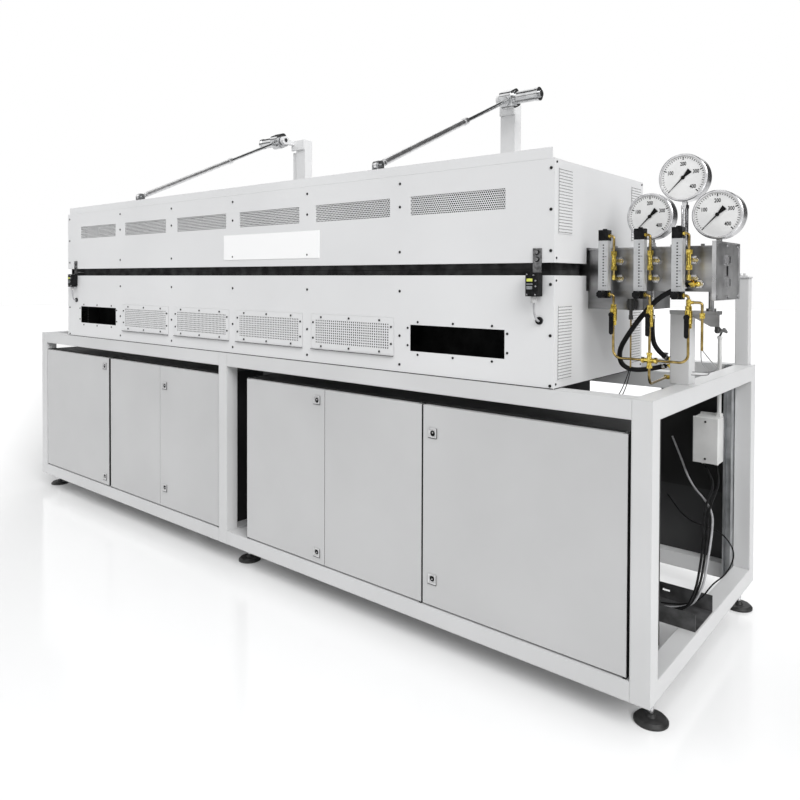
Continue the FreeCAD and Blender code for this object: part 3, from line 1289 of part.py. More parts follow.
def bulkheads():
    """Where the fittings pass through the front wall of the retort."""
    places = [(x, z) for x in TUBE_LINES for z in (TEE_Z, ELBOW_Z)]
    return places + [(HOSE_PORT_X, HOSE_PORT_Z)]


def flowmeter_blocks():
    """Clear acrylic bodies with the metering tube bored down the middle."""
    low = FLOWMETER_BOTTOM + FLOWMETER_BOTTOM_BLOCK
    height = FLOWMETER_HEIGHT - FLOWMETER_BOTTOM_BLOCK - FLOWMETER_TOP_BLOCK
    blocks = []
    for x in GAS_STATIONS:
        body = block(x - FLOWMETER_WIDTH / 2, FLOWMETER_FRONT_Y, low, FLOWMETER_WIDTH, FLOWMETER_DEPTH, height)
        bore = rod(x, METER_AXIS_Y, low - 1, FLOWMETER_BORE, height + 2)
        blocks.append(body.cut(bore))
    return blocks


def flowmeter_ends():
    """Black end blocks; the lower one is bored from the front for the needle valve."""
    ends = []
    for x in GAS_STATIONS:
        left = x - FLOWMETER_WIDTH / 2
        bottom = block(
            left, FLOWMETER_FRONT_Y, FLOWMETER_BOTTOM, FLOWMETER_WIDTH, FLOWMETER_DEPTH, FLOWMETER_BOTTOM_BLOCK
        )
        bore = rod(
            x, FLOWMETER_FRONT_Y - 1, PORT_LOWER_Z, KNOB_SHAFT + 2 * RUNNING_CLEARANCE, 15, Y_AXIS
        )
        top_z = FLOWMETER_BOTTOM + FLOWMETER_HEIGHT - FLOWMETER_TOP_BLOCK
        top = block(left, FLOWMETER_FRONT_Y, top_z, FLOWMETER_WIDTH, FLOWMETER_DEPTH, FLOWMETER_TOP_BLOCK)
        plug = rod(x, METER_AXIS_Y, FLOWMETER_BOTTOM + FLOWMETER_HEIGHT, 14, 4)
        ends += [bottom.cut(bore), top.fuse(plug)]
    return ends


def flowmeter_knob(x):
    """Needle valve knob with a grip groove ring and its spindle."""
    front = FLOWMETER_FRONT_Y - 3 - KNOB_LENGTH
    knob = rod(x, front, PORT_LOWER_Z, 2 * KNOB_RADIUS, KNOB_LENGTH, Y_AXIS)
    flutes = [
        rod(
            x + KNOB_RADIUS * math.cos(math.radians(45 * k)), front - 1,
            PORT_LOWER_Z + KNOB_RADIUS * math.sin(math.radians(45 * k)), 3, KNOB_LENGTH - 4, Y_AXIS,
        )
        for k in range(8)
    ]
    knob = cut_all(knob, flutes)
    spindle = rod(x, front + 4, PORT_LOWER_Z, KNOB_SHAFT, KNOB_LENGTH + 12, Y_AXIS)
    return knob.fuse(spindle).removeSplitter()


def nose(x, y, z):
    """Round end that a hose or cable meets squarely whichever way it leaves."""
    return Part.makeSphere(NOSE_RADIUS, Vector(x, y, z))


def ring_nut(x, y, z, across, length, bore, axis=Z_AXIS):
    return hexagon(x, y, z, across, length, axis).cut(rod(x, y, z, bore, length, axis))


def ball_valve(x):
    """Two hexagon ends, a round body and a bored boss for the lever spindle."""
    y = GAS_LINE_Y
    ends = [
        hexagon(x, y, VALVE_BOTTOM, FITTING_ACROSS, NUT_LENGTH),
        hexagon(x, y, VALVE_TOP - NUT_LENGTH, FITTING_ACROSS, NUT_LENGTH),
    ]
    body = rod(x, y, VALVE_BOTTOM + NUT_LENGTH, VALVE_BODY, VALVE_LENGTH - 2 * NUT_LENGTH)
    boss = rod(x, y, VALVE_Z, VALVE_BOSS, VALVE_BODY / 2 + 5, Vector(0, -1, 0))
    bore = rod(
        x, y - 4, VALVE_Z, LEVER_STEM + 2 * RUNNING_CLEARANCE, VALVE_BODY, Vector(0, -1, 0)
    )
    return fused(ends + [body, boss]).cut(bore)


def valve_lever(x):
    """Pressed lever that hangs along the tube when the valve is open."""
    plate_y = GAS_LINE_Y - VALVE_BODY / 2 - 5 - 1 - LEVER_THICKNESS
    half = LEVER_WIDTH / 2
    stem = rod(x, GAS_LINE_Y - 5, VALVE_Z, LEVER_STEM, GAS_LINE_Y - 5 - plate_y, Vector(0, -1, 0))
    hub = rod(x, plate_y, VALVE_Z, LEVER_WIDTH + 4, LEVER_THICKNESS, Y_AXIS)
    grip_z = VALVE_Z - LEVER_LENGTH + half
    grip = block(x - half, plate_y, grip_z, LEVER_WIDTH, LEVER_THICKNESS, LEVER_LENGTH - half)
    tip = rod(x, plate_y, VALVE_Z - LEVER_LENGTH + half, LEVER_WIDTH, LEVER_THICKNESS, Y_AXIS)
    nut = hexagon(x, plate_y, VALVE_Z, 11, 5, Vector(0, -1, 0))
    return fused([stem, hub, grip, tip, nut])


def tee(x):
    """Tee between two nuts, with a branch back to its bulkhead."""
    y = GAS_LINE_Y
    half = TEE_HALF - NUT_LENGTH
    body = rod(x, y, TEE_Z - half, FITTING_BODY, 2 * half)
    branch = rod(x, y, TEE_Z, FITTING_BODY - 2, RETORT_FRONT_Y - BULKHEAD_LENGTH - y, Y_AXIS)
    nuts = [hexagon(x, y, z, FITTING_ACROSS, NUT_LENGTH) for z in (TEE_Z - TEE_HALF, TEE_Z + half)]
    return fused([body, branch] + nuts)


def elbow(x, z):
    """Elbow from the tube above to a bulkhead behind."""
    y = GAS_LINE_Y
    down = rod(x, y, z, FITTING_BODY - 2, FITTING_BODY - 3)
    knee = Part.makeSphere((FITTING_BODY - 2) / 2, Vector(x, y, z))
    back = rod(x, y, z, FITTING_BODY - 2, RETORT_FRONT_Y - BULKHEAD_LENGTH - y, Y_AXIS)
    return fused([down, knee, back])


def bulkhead(x, z):
    """Chrome nut against the retort wall with its shank through the wall."""
    start = RETORT_FRONT_Y - BULKHEAD_LENGTH
    nut = hexagon(x, start, z, BULKHEAD_ACROSS, BULKHEAD_LENGTH, Y_AXIS)
    shank = rod(x, RETORT_FRONT_Y, z, BULKHEAD_BORE, RETORT_WALL + 6, Y_AXIS)
    return nut.fuse(shank).removeSplitter()


def gas_fittings():
    """All brass and chrome fittings: ports, tees, elbows, valves, the cross and gauge seats."""
    y = GAS_LINE_Y
    parts = []
    for meter_x, line_x in zip(GAS_STATIONS, TUBE_LINES):
        side = meter_x + FLOWMETER_WIDTH / 2
        for z in (PORT_UPPER_Z, PORT_LOWER_Z):
            parts.append(hexagon(side, y, z, 12, PORT_NUT_LENGTH, X_AXIS))
        parts += [tee(line_x), elbow(line_x, ELBOW_Z), ball_valve(line_x)]
    parts += [bulkhead(x, z) for x, z in bulkheads()]
    parts.append(cross_fitting())
    parts += [side_tee(), side_elbow_nut(), supply_fitting(), hose_port()] + hose_nipples()
    for x, z in GAUGE_PLACES:
        parts += gauge_seat(x, z)
    return parts + thermocouple() + [drain_stub()]


def cross_fitting():
    y = GAS_LINE_Y
    arm = CROSS_ARM - 8
    pieces = [
        rod(CROSS_X - arm, y, CROSS_Z, FITTING_BODY, 2 * arm, X_AXIS),
        rod(CROSS_X, y, CROSS_Z - arm, FITTING_BODY, 2 * arm),
    ]
    for axis in (X_AXIS, X_AXIS * -1, Z_AXIS, Z_AXIS * -1):
        start = Vector(CROSS_X, y, CROSS_Z) + axis * arm
        pieces.append(hexagon(start.x, start.y, start.z, FITTING_ACROSS - 1, 8, axis))
    return fused(pieces)


def side_tee():
    """Tee on top of the third valve whose side branch feeds the sensor line."""
    x = TUBE_LINES[2]
    y = GAS_LINE_Y
    body = rod(x, y, VALVE_TOP, FITTING_BODY, SIDE_TEE_TOP - VALVE_TOP)
    branch = rod(x, y, SIDE_BRANCH_Z, FITTING_BODY - 4, BRANCH_NUT_END - x, X_AXIS)
    return fused([body, branch])


def side_elbow_nut():
    """Union ring on the sensor line below its bend."""
    low = SIDE_BRANCH_Z - 46
    return ring_nut(SIDE_BRANCH_X, GAS_LINE_Y, low, 14, 16, GAS_TUBE)


def supply_fitting():
    """Union through the left side of the front post, where the supply tube arrives."""
    start = SUPPLY_END.x - 8
    return rod(start, SUPPLY_END.y + FITTING_BODY / 2, SUPPLY_Z, FITTING_BODY, FRONT_POST_X - start, X_AXIS)


def hose_port():
    """Brass elbow low on the retort front, its hose tail turned to the left."""
    y = RETORT_FRONT_Y - BULKHEAD_LENGTH - 12
    back = rod(HOSE_PORT_X, y, HOSE_PORT_Z, FITTING_BODY + 2, 12, Y_AXIS)
    knee = Part.makeSphere(FITTING_BODY / 2 + 1, Vector(HOSE_PORT_X, y, HOSE_PORT_Z))
    tail = rod(HOSE_PORT_X, y, HOSE_PORT_Z, 10, HOSE_TAIL, Vector(-1, 0, 0))
    nut = hexagon(HOSE_PORT_X - 9, y, HOSE_PORT_Z, FITTING_ACROSS, 10, Vector(-1, 0, 0))
    return fused([back, knee, tail, nut, nose(HOSE_PORT_X - HOSE_TAIL, y, HOSE_PORT_Z)])


def hose_nipples():
    """Barbed nipples on the left face of the front post."""
    nipples = []
    for y, z in HOSE_NIPPLES:
        nut = hexagon(FRONT_POST_X, y, z, FITTING_ACROSS, 8, Vector(-1, 0, 0))
        tail = rod(FRONT_POST_X, y, z, 2 * NOSE_RADIUS, 14, Vector(-1, 0, 0))
        nipples.append(fused([nut, tail, nose(FRONT_POST_X - 14, y, z)]))
    return nipples


def gas_tubes():
    """Brass tubes bent cold, each ending flush with the nut it enters."""
    y = GAS_LINE_Y
    tubes = []
    for k, (meter_x, x) in enumerate(zip(GAS_STATIONS, TUBE_LINES)):
        port_x = meter_x + FLOWMETER_WIDTH / 2 + PORT_NUT_LENGTH
        upper = [
            Vector(port_x, y, PORT_UPPER_Z),
            Vector(x, y, PORT_UPPER_Z),
            Vector(x, y, TEE_Z + TEE_HALF),
        ]
        low_end = SIDE_TEE_TOP if k == 2 else VALVE_TOP
        lower = [
            Vector(port_x, y, PORT_LOWER_Z),
            Vector(x, y, PORT_LOWER_Z),
            Vector(x, y, low_end),
        ]
        bend = min(PORT_BEND, PORT_LOWER_Z - low_end - 1)
        tubes.append(bent_tube(upper, GAS_TUBE, PORT_BEND))
        tubes.append(bent_tube(lower, GAS_TUBE, bend))
        elbow_top = ELBOW_Z + FITTING_BODY - 3
        tubes.append(rod(x, y, elbow_top, GAS_TUBE, TEE_Z - TEE_HALF - elbow_top))
        if k == 1:
            tubes.append(rod(x, y, CROSS_Z + CROSS_ARM, GAS_TUBE, VALVE_BOTTOM - CROSS_Z - CROSS_ARM))
            continue
        direction = 1 if x < CROSS_X else -1
        tubes.append(
            bent_tube(
                [
                    Vector(x, y, VALVE_BOTTOM),
                    Vector(x, y, CROSS_Z),
                    Vector(CROSS_X - direction * CROSS_ARM, y, CROSS_Z),
                ],
                GAS_TUBE, BEND_RADIUS,
            )
        )
    supply = [Vector(CROSS_X, y, CROSS_Z - CROSS_ARM), Vector(CROSS_X, y, SUPPLY_Z), SUPPLY_END]
    tubes.append(bent_tube(supply, GAS_TUBE, BEND_RADIUS))
    sensor = [
        Vector(BRANCH_NUT_END, y, SIDE_BRANCH_Z),
        Vector(SIDE_BRANCH_X, y, SIDE_BRANCH_Z),
        Vector(SIDE_BRANCH_X, y, SIDE_BRANCH_END),
    ]
    tubes.append(bent_tube(sensor, GAS_TUBE, PORT_BEND))
    probe_length = THERMOCOUPLE_BOTTOM - PROBE_TUBE_END
    tubes.append(rod(THERMOCOUPLE_X, THERMOCOUPLE_Y, PROBE_TUBE_END, PROBE_TUBE, probe_length))
    return tubes


# Pressure gauges
def gauge_seat(x, z):
    """Stem through the retort roof and the nut under the gauge; the middle one on a pole."""
    low = RETORT_TOP - RETORT_WALL - 4
    roof = RETORT_TOP + FLANGE_THICKNESS
    case_bottom = z - GAUGE_DIAMETER / 2
    y = GAUGE_AXIS_Y
    neck_top = case_bottom - GAUGE_NECK
    stem = rod(x, y, low, GAUGE_STEM, neck_top - low)
    seat = hexagon(x, y, roof, 26, 8)
    nut = hexagon(x, y, neck_top - GAUGE_NUT_LENGTH, 22, GAUGE_NUT_LENGTH)
    pieces = [stem, seat, nut]
    if neck_top - roof > 4 * GAUGE_NUT_LENGTH:
        pieces.append(rod(x, y, roof, GAUGE_POLE, neck_top - roof - GAUGE_NUT_LENGTH))
    return [fused(pieces)]


def gauge_case(x, z):
    """Round case with a raised bezel, the dial sunk inside and a neck below."""
    face = GAUGE_FACE_Y
    back = rod(x, face, z, GAUGE_DIAMETER, GAUGE_DEPTH, Y_AXIS)
    hollow = rod(x, face - 1, z, GAUGE_DIAMETER - 2 * GAUGE_BEZEL, GAUGE_DISH + 1, Y_AXIS)
    boss = rod(x, face + GAUGE_DISH - 1.5, z, 10, 2, Y_AXIS)
    bore = rod(x, face, z, GAUGE_SPINDLE + 2 * RUNNING_CLEARANCE, GAUGE_DISH + 10, Y_AXIS)
    neck_y = GAUGE_AXIS_Y
    low = z - GAUGE_DIAMETER / 2 - GAUGE_NECK
    neck = block(x - 7, neck_y - 7, low, 14, 14, GAUGE_NECK + 12)
    rim_edges = [e for e in back.Edges if e.BoundBox.YMax < face + 0.1 and e.BoundBox.XLength > 10]
    back = back.makeChamfer(2.5, rim_edges)
    return fused([back.cut(hollow), boss, neck]).cut(bore)


def gauge_pointer(x, z):
    """Pointer with a tail that widens away from the hub, resting low on the left, and its spindle."""
    y = GAUGE_FACE_Y + GAUGE_DISH - 1.5 - 0.5 - POINTER_THICKNESS
    tip = POINTER_LENGTH
    profile = Part.makePolygon([
        Vector(-POINTER_TAIL, 0, POINTER_TAIL_HALF),
        Vector(0, 0, 2.2),
        Vector(tip, 0, 0.6),
        Vector(tip, 0, -0.6),
        Vector(0, 0, -2.2),
        Vector(-POINTER_TAIL, 0, -POINTER_TAIL_HALF),
        Vector(-POINTER_TAIL, 0, POINTER_TAIL_HALF),
    ])
    blade = Part.Face(profile).extrude(Vector(0, POINTER_THICKNESS, 0))
    hub = rod(0, -1, 0, 2 * POINTER_HUB, POINTER_THICKNESS + 1, Y_AXIS)
    spindle = rod(0, 0, 0, GAUGE_SPINDLE, 10, Y_AXIS)
    pointer = fused([blade, hub, spindle])
    pointer.rotate(Vector(0, 0, 0), Y_AXIS, POINTER_REST)
    pointer.translate(Vector(x, y, z))
    return pointer


# Thermocouple on the saddle
def thermocouple():
    """Black head on a bracket from the saddle front, with its brass union below."""
    x = THERMOCOUPLE_X
    y = THERMOCOUPLE_Y
    radius = THERMOCOUPLE_DIAMETER / 2
    top = SADDLE_BOTTOM + 36
    head_bottom = THERMOCOUPLE_BOTTOM + 30
    bracket = block(x - 14, y, top - 30, 28, RETORT_FRONT_Y - y, 24)
    head = rod(x, y, head_bottom, THERMOCOUPLE_DIAMETER, top - head_bottom)
    neck = rod(x, y, THERMOCOUPLE_BOTTOM, radius, 30)
    union = hexagon(x, y, THERMOCOUPLE_BOTTOM, 13, 14)
    return [fused([bracket, head, neck, union])]


def drain_stub():
    """Stub under the retort that the short hose is pushed on."""
    low = RETORT_BOTTOM - DRAIN_LENGTH
    stub = rod(DRAIN_X, DRAIN_Y, low, 2 * NOSE_RADIUS, DRAIN_LENGTH)
    return stub.fuse(nose(DRAIN_X, DRAIN_Y, low)).removeSplitter()


# Hoses and cables
def smooth_route(controls, spacing):
    """A curve through the control points, cut into equal runs for a cord."""
    first = controls[0] * 2 - controls[1]
    last = controls[-1] * 2 - controls[-2]
    guide = [first] + list(controls) + [last]
    fine = []
    for a, b, c, d in zip(guide, guide[1:], guide[2:], guide[3:]):
        for step in range(24):
            t = step / 24
            fine.append(
                (
                    b * 2
                    + (c - a) * t
                    + (a * 2 - b * 5 + c * 4 - d) * t ** 2
                    + (b * 3 - a - c * 3 + d) * t ** 3
                ) * 0.5
            )
    fine.append(controls[-1])
    walked = [0.0]
    for before, after in zip(fine, fine[1:]):
        walked.append(walked[-1] + (after - before).Length)
    runs = max(3, round(walked[-1] / spacing))
    route = []
    for k in range(runs + 1):
        target = walked[-1] * k / runs
        index = min(max(1, sum(1 for w in walked if w < target)), len(fine) - 1)
        share = (target - walked[index - 1]) / (walked[index] - walked[index - 1])
        route.append(fine[index - 1] + (fine[index] - fine[index - 1]) * share)
    return route


def between_noses(route, at_start=True, at_end=True):
    """Shortens the route so that its ends meet the round noses that they start from."""
    ends = list(route)
    if at_start:
        ends[0] = route[0] + (route[1] - route[0]).normalize() * NOSE_RADIUS
    if at_end:
        ends[-1] = route[-1] + (route[-2] - route[-1]).normalize() * NOSE_RADIUS
    return ends


def steps_from(place, steps):
    return [place + Vector(*step) for step in steps]


def trimmed(cables, neighbours):
    """Ends each cable on the faces of the pieces that it enters."""
    solids = [solid for shape in neighbours for solid in shape.Solids]
    ended = []
    for cable in cables:
        near = [solid for solid in solids if solid.BoundBox.intersect(cable.BoundBox)]
        rest = cut_all(cable, near) if near else cable
        ended.append(max(rest.Solids, key=lambda solid: solid.Volume))
    return ended


def gas_hoses():
    """Two black hoses from the retort front and the saddle to the post nipples."""
    port = Vector(HOSE_PORT_X - HOSE_TAIL, RETORT_FRONT_Y - BULKHEAD_LENGTH - 12, HOSE_PORT_Z)
    drain = Vector(DRAIN_X, DRAIN_Y, RETORT_BOTTOM - DRAIN_LENGTH)
    upper_nipple, lower_nipple = [Vector(FRONT_POST_X - 14, y, z) for y, z in HOSE_NIPPLES]
    first = [port]
    first += steps_from(port, [(-55, -6, -13), (-131, -8, -88), (-200, 2, -180), (-234, 30, -238)])
    first += steps_from(lower_nipple, [(-110, -80, -17), (-66, -30, -21)])
    first.append(lower_nipple)
    second = [drain] + steps_from(drain, [(-3, 3, -51), (-8, 22, -106)]) + [upper_nipple]
    return [
        cord("long hose", between_noses(smooth_route(first, HOSE_RUN)), HOSE_DIAMETER),
        cord("short hose", between_noses(smooth_route(second, HOSE_RUN)), HOSE_DIAMETER),
    ]


def sensor_wires():
    """Thin wires from the two sensor tubes down to the frame."""
    tube_end = Vector(SIDE_BRANCH_X, GAS_LINE_Y, SIDE_BRANCH_END)
    probe_end = Vector(THERMOCOUPLE_X, THERMOCOUPLE_Y, PROBE_TUBE_END)
    post_entry = Vector(FRONT_POST_X + TUBE, FRONT_POST_Y + 30, STAND_HEIGHT + 36)
    wires = []
    for shift in (-1, 1):
        start = tube_end + Vector(2.2 * shift, 0, 0)
        finish = post_entry + Vector(0, 7 * shift, 4 * shift)
        middle = steps_from(tube_end, [(-2 + 14 * shift, 52 + 8 * shift, -40)])
        middle += steps_from(finish, [(82 + 8 * shift, 3 * shift - 49, 20 - shift), (42, 3 - shift, shift - 3)])
        route = smooth_route([start] + middle + [finish], SENSOR_WIRE_RUN)
        wires.append(cord("sensor wire", route, SENSOR_WIRE))
    for shift in (-1, 1):
        start = probe_end + Vector(1.6 * shift, 0, 0)
        middle = steps_from(probe_end, [(4 * shift - 8, -4, -46)])
        finish = Vector(probe_end.x - 56 + 9 * shift, probe_end.y - 36, ENCLOSURE_TOP)
        route = smooth_route([start] + middle + [finish], SENSOR_WIRE_RUN)
        wires.append(cord("probe wire", route, SENSOR_WIRE))
    return wires


def junction_box():
    """Small terminal box beside the channel with a conduit out of its top."""
    dx, dy, dz = JUNCTION_SIZE
    box = block(JUNCTION_X, JUNCTION_Y, JUNCTION_Z, dx, dy - 18, dz)
    lid = block(JUNCTION_X - 2, JUNCTION_Y - 12, JUNCTION_Z - 2, dx + 2, 12, dz + 4)
    back = block(JUNCTION_X, JUNCTION_Y + dy - 18, JUNCTION_Z - 6, dx, 18, dz + 12)
    rim = [e for e in lid.Edges if e.BoundBox.YMax < JUNCTION_Y - 11.9]
    lid = lid.makeFillet(3, rim)
    gland_z = JUNCTION_Z + dz
    gland = hexagon(CONDUIT_X - 6, CONDUIT_Y, gland_z, 24, 14)
    conduit = rod(CONDUIT_X - 6, CONDUIT_Y, gland_z + 14, CONDUIT_DIAMETER, CONDUIT_TOP - gland_z - 14)
    ferrule = rod(CONDUIT_X - 6, CONDUIT_Y, CONDUIT_TOP, CONDUIT_DIAMETER + 4, 12)
    ferrule_nose = nose(CONDUIT_X - 6, CONDUIT_Y, CONDUIT_TOP + 12)
    gland_y = JUNCTION_Y + 40
    glands = []
    for x in (JUNCTION_X + 24, JUNCTION_X + 74):
        collar = rod(x, gland_y, JUNCTION_Z - 14, 16, 14)
        glands.append(collar.fuse(nose(x, gland_y, JUNCTION_Z - 14)).removeSplitter())
    knee = Part.makeSphere(9, Vector(KNEE_X, KNEE_Y, KNEE_Z))
    arm = rod(KNEE_X, KNEE_Y, KNEE_Z, 18, 20, Y_AXIS)
    riser = rod(KNEE_X, KNEE_Y, KNEE_Z, 16, FRONT_POST_TOP - GUSSET_DROP - KNEE_Z)
    knee_nose = nose(KNEE_X, KNEE_Y + 20, KNEE_Z)
    case = fused([box, lid, back])
    pipe = fused([gland, conduit, ferrule, ferrule_nose])
    return [case, pipe] + glands + [fused([knee, arm, riser, knee_nose])]


def channel_and_tray():
    """Galvanised upright channel at the rear and the slotted cable tray on the floor rails."""
    t = STRUT_CHANNEL_SHEET
    y = STAND_DEPTH - TUBE - STRUT_CHANNEL_DEPTH
    web = block(STRUT_CHANNEL_X, y, 0, STRUT_CHANNEL_WIDTH, STRUT_CHANNEL_DEPTH, STAND_HEIGHT)
    inner = block(
        STRUT_CHANNEL_X + t, y - 1, -1,
        STRUT_CHANNEL_WIDTH - 2 * t, STRUT_CHANNEL_DEPTH - t + 1, STAND_HEIGHT + 2,
    )
    s = TRAY_SHEET
    length = TRAY_END_X - TRAY_START_X
    tray = block(TRAY_START_X, TRAY_Y, TUBE, length, TRAY_WIDTH, TRAY_HEIGHT)
    hollow = block(
        TRAY_START_X - 1, TRAY_Y + s, TUBE + s, length + 2, TRAY_WIDTH - 2 * s, TRAY_HEIGHT
    )
    slot_length, slot_height = TRAY_SLOT
    slots = []
    for k in range(int((length - slot_length) / TRAY_SLOT_PITCH)):
        x = TRAY_START_X + 30 + k * TRAY_SLOT_PITCH
        slots.append(
            block(x, TRAY_Y - 1, TUBE + TRAY_HEIGHT / 2, slot_length, TRAY_WIDTH + 2, slot_height)
        )
        slots.append(
            block(x, TRAY_Y + TRAY_WIDTH / 2 - slot_height / 2, TUBE - 1, slot_length, slot_height, s + 2)
        )
    return [web.cut(inner), cut_all(tray.cut(hollow), slots)]


def toward_tray(from_end, share, height):
    """A point by its distance from the right end, its share of the way to the panel and its height."""
    middle_y = TRAY_Y + TRAY_WIDTH / 2
    panel_y = STAND_DEPTH - PANEL_SETBACK - PANEL_THICKNESS - 1
    y = middle_y + share * (panel_y - middle_y)
    return Vector(STAND_LENGTH - from_end, y, TUBE + TRAY_SHEET + FRAME_CABLE + height)


def box_cables():
    """Three cables, two from the box and one from the rear panel, down into the tray."""
    box_left = Vector(JUNCTION_X + 24, JUNCTION_Y + 40, JUNCTION_Z - 14)
    box_right = box_left + Vector(50, 0, 0)
    panel_entry = Vector(STAND_LENGTH - 321, STAND_DEPTH - 12, STAND_HEIGHT - 333)
    drop = JUNCTION_Z - 84
    starts = (
        (box_left, [(12, -8, -24), (78, -119, -42)], -34, True),
        (box_right, [(6, -10, -18), (44, -110, -46)], -17, True),
        (panel_entry, [(58, -58, -75), (133, -172, -141)], 0, False),
    )
    cables = []
    for k, (start, upper, side, from_gland) in enumerate(starts):
        middle = [
            toward_tray(54 - side * 0.7, 0.4, drop * 0.755 - 6 * k) + Vector(0, 4 * k, 0),
            toward_tray(18 - side * 0.5, 0.158, drop * 0.54 - 4 * k) + Vector(0, side * 0.4, 0),
        ]
        inside = [
            toward_tray(14 - side * 0.4, 0.026, 98) + Vector(0, side, 0),
            toward_tray(24 - side * 0.4, 0.007, 34) + Vector(0, side, 0),
            toward_tray(74, 0, 8) + Vector(0, side, 0),
            toward_tray(160, -0.003, 0) + Vector(0, side, 0),
        ]
        route = smooth_route([start] + steps_from(start, upper) + middle + inside, CABLE_RUN)
        cables.append(cord("frame cable", between_noses(route, from_gland, False), FRAME_CABLE))
    return cables


def frame_cables():
    """Cables at the right-hand end: three to the tray, a thin loop and one over the rails."""
    loop = [
        toward_tray(338, 1, 212), toward_tray(248, 0.816, 186), toward_tray(154, 0.59, 200),
        toward_tray(84, 0.466, 220), toward_tray(28, 0.436, 216), toward_tray(-16, 0.449, 174),
        toward_tray(-24, 0.384, 130), toward_tray(-18, 0.236, 106), toward_tray(6, 0.098, 90),
        toward_tray(36, 0.066, 34), toward_tray(94, 0.052, 8), toward_tray(160, 0.049, 0),
    ]
    knee = Vector(KNEE_X, KNEE_Y + 20, KNEE_Z)
    conduit = Vector(CONDUIT_X - 6, CONDUIT_Y, CONDUIT_TOP + 12)
    reach = conduit.y - knee.y
    bends = [(-8, reach * 0.148, -8), (-57, reach * 0.491, -26), (-135, reach * 0.888, -26)]
    over = [knee] + steps_from(knee, bends) + [conduit]
    return box_cables() + [
        cord("thin loop", smooth_route(loop, THIN_CABLE_RUN), THIN_CABLE),
        cord("knee cable", between_noses(smooth_route(over, CABLE_RUN)), FRAME_CABLE),
    ]


os.makedirs("parts", exist_ok=True)
save("frame_hoops", frame_hoops())
save("frame_rails", frame_rails())
save("rear_panel", rear_panel())
save("levelling_feet", levelling_feet())
save(
    "left_enclosures",
    [
        enclosure(LEFT_SINGLE_X, SINGLE_WIDTH, "left"),
        enclosure(LEFT_DOUBLE_X, DOUBLE_WIDTH, "both"),
    ],
)
save(
    "right_enclosures",
    [
        enclosure(RIGHT_DOUBLE_X, DOUBLE_WIDTH, "both"),
        enclosure(RIGHT_SINGLE_X, SINGLE_WIDTH, "right"),
    ],
)
save("control_gear", control_gear())
for door_name, door_x, door_width, hinge_side, lock_edge, lock_drop in door_table():
    save(door_name, door_leaf(door_x, door_width, hinge_side, lock_edge, lock_drop))
    if lock_edge is not None:
        for level, lock_z in zip(("lower", "upper"), lock_heights(lock_drop)):
            save(door_name.replace("door", level + "_lock"), lock_insert(lock_edge, lock_z))
save("lower_casing", lower_casing())
save("vent_covers", vent_covers())
save("hearth_insulation", hearth_insulation())
save("heating_elements", heating_rods())
save("retort", retort())
save("retort_end_cover", retort_end_cover())
save("retort_supports", retort_supports())
save("lid_hinges", lid_hinges())
save("lift_masts", lift_masts())
save("safety_switches", safety_switches())
save("switch_cables", trimmed(switch_cables(), safety_switches()))
save("support_posts", support_posts())
save("flowmeter_blocks", flowmeter_blocks())
save("flowmeter_ends", flowmeter_ends())
save("gas_fittings", gas_fittings())
save("gas_tubes", gas_tubes())
save("gauge_cases", [gauge_case(x, z) for x, z in GAUGE_PLACES])
save("gas_hoses", gas_hoses())
save("junction_box", junction_box())
save("cable_tray", channel_and_tray())
save(
    "frame_cables",
    trimmed(
        frame_cables() + sensor_wires(),
        junction_box() + rear_panel() + gas_tubes() + support_posts()
        + [enclosure(RIGHT_SINGLE_X, SINGLE_WIDTH, "right")],
    ),
)
save("lid_casing", lid_casing())
save("lid_grilles", lid_grilles())
save("lid_insulation", lid_insulation())
save("lid_lift_rail", lid_lift_rail())
save("lid_brackets", lid_brackets())
save("left_lift_drive", lift_drive(LEFT_DRIVE_X, -1))
save("right_lift_drive", lift_drive(RIGHT_DRIVE_X, 1))
save("left_push_tube", push_tube(LEFT_DRIVE_X))
save("right_push_tube", push_tube(RIGHT_DRIVE_X))
for place, line_x, meter_x in zip(("left", "middle", "right"), TUBE_LINES, GAS_STATIONS):
    save(place + "_valve_lever", valve_lever(line_x))
    save(place + "_flowmeter_knob", flowmeter_knob(meter_x))
for place, (gauge_x, gauge_z) in zip(("left", "middle", "right"), GAUGE_PLACES):
    save(place + "_gauge_pointer", gauge_pointer(gauge_x, gauge_z))
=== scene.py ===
import bmesh
import bpy
import math
from mathutils import Matrix, Vector


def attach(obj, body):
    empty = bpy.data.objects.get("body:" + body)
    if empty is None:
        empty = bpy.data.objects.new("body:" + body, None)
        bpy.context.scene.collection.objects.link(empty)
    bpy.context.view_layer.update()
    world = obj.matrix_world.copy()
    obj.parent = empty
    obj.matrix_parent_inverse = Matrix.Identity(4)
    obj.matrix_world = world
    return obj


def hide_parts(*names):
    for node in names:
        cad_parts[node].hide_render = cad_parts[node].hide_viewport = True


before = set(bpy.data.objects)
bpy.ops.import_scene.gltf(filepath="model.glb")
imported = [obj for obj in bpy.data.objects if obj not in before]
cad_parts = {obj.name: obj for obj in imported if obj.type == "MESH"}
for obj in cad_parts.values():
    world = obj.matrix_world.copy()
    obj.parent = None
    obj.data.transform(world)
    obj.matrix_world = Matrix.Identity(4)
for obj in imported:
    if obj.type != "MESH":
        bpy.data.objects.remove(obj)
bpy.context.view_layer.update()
scene = bpy.context.scene
scene.view_settings.view_transform = "Standard"

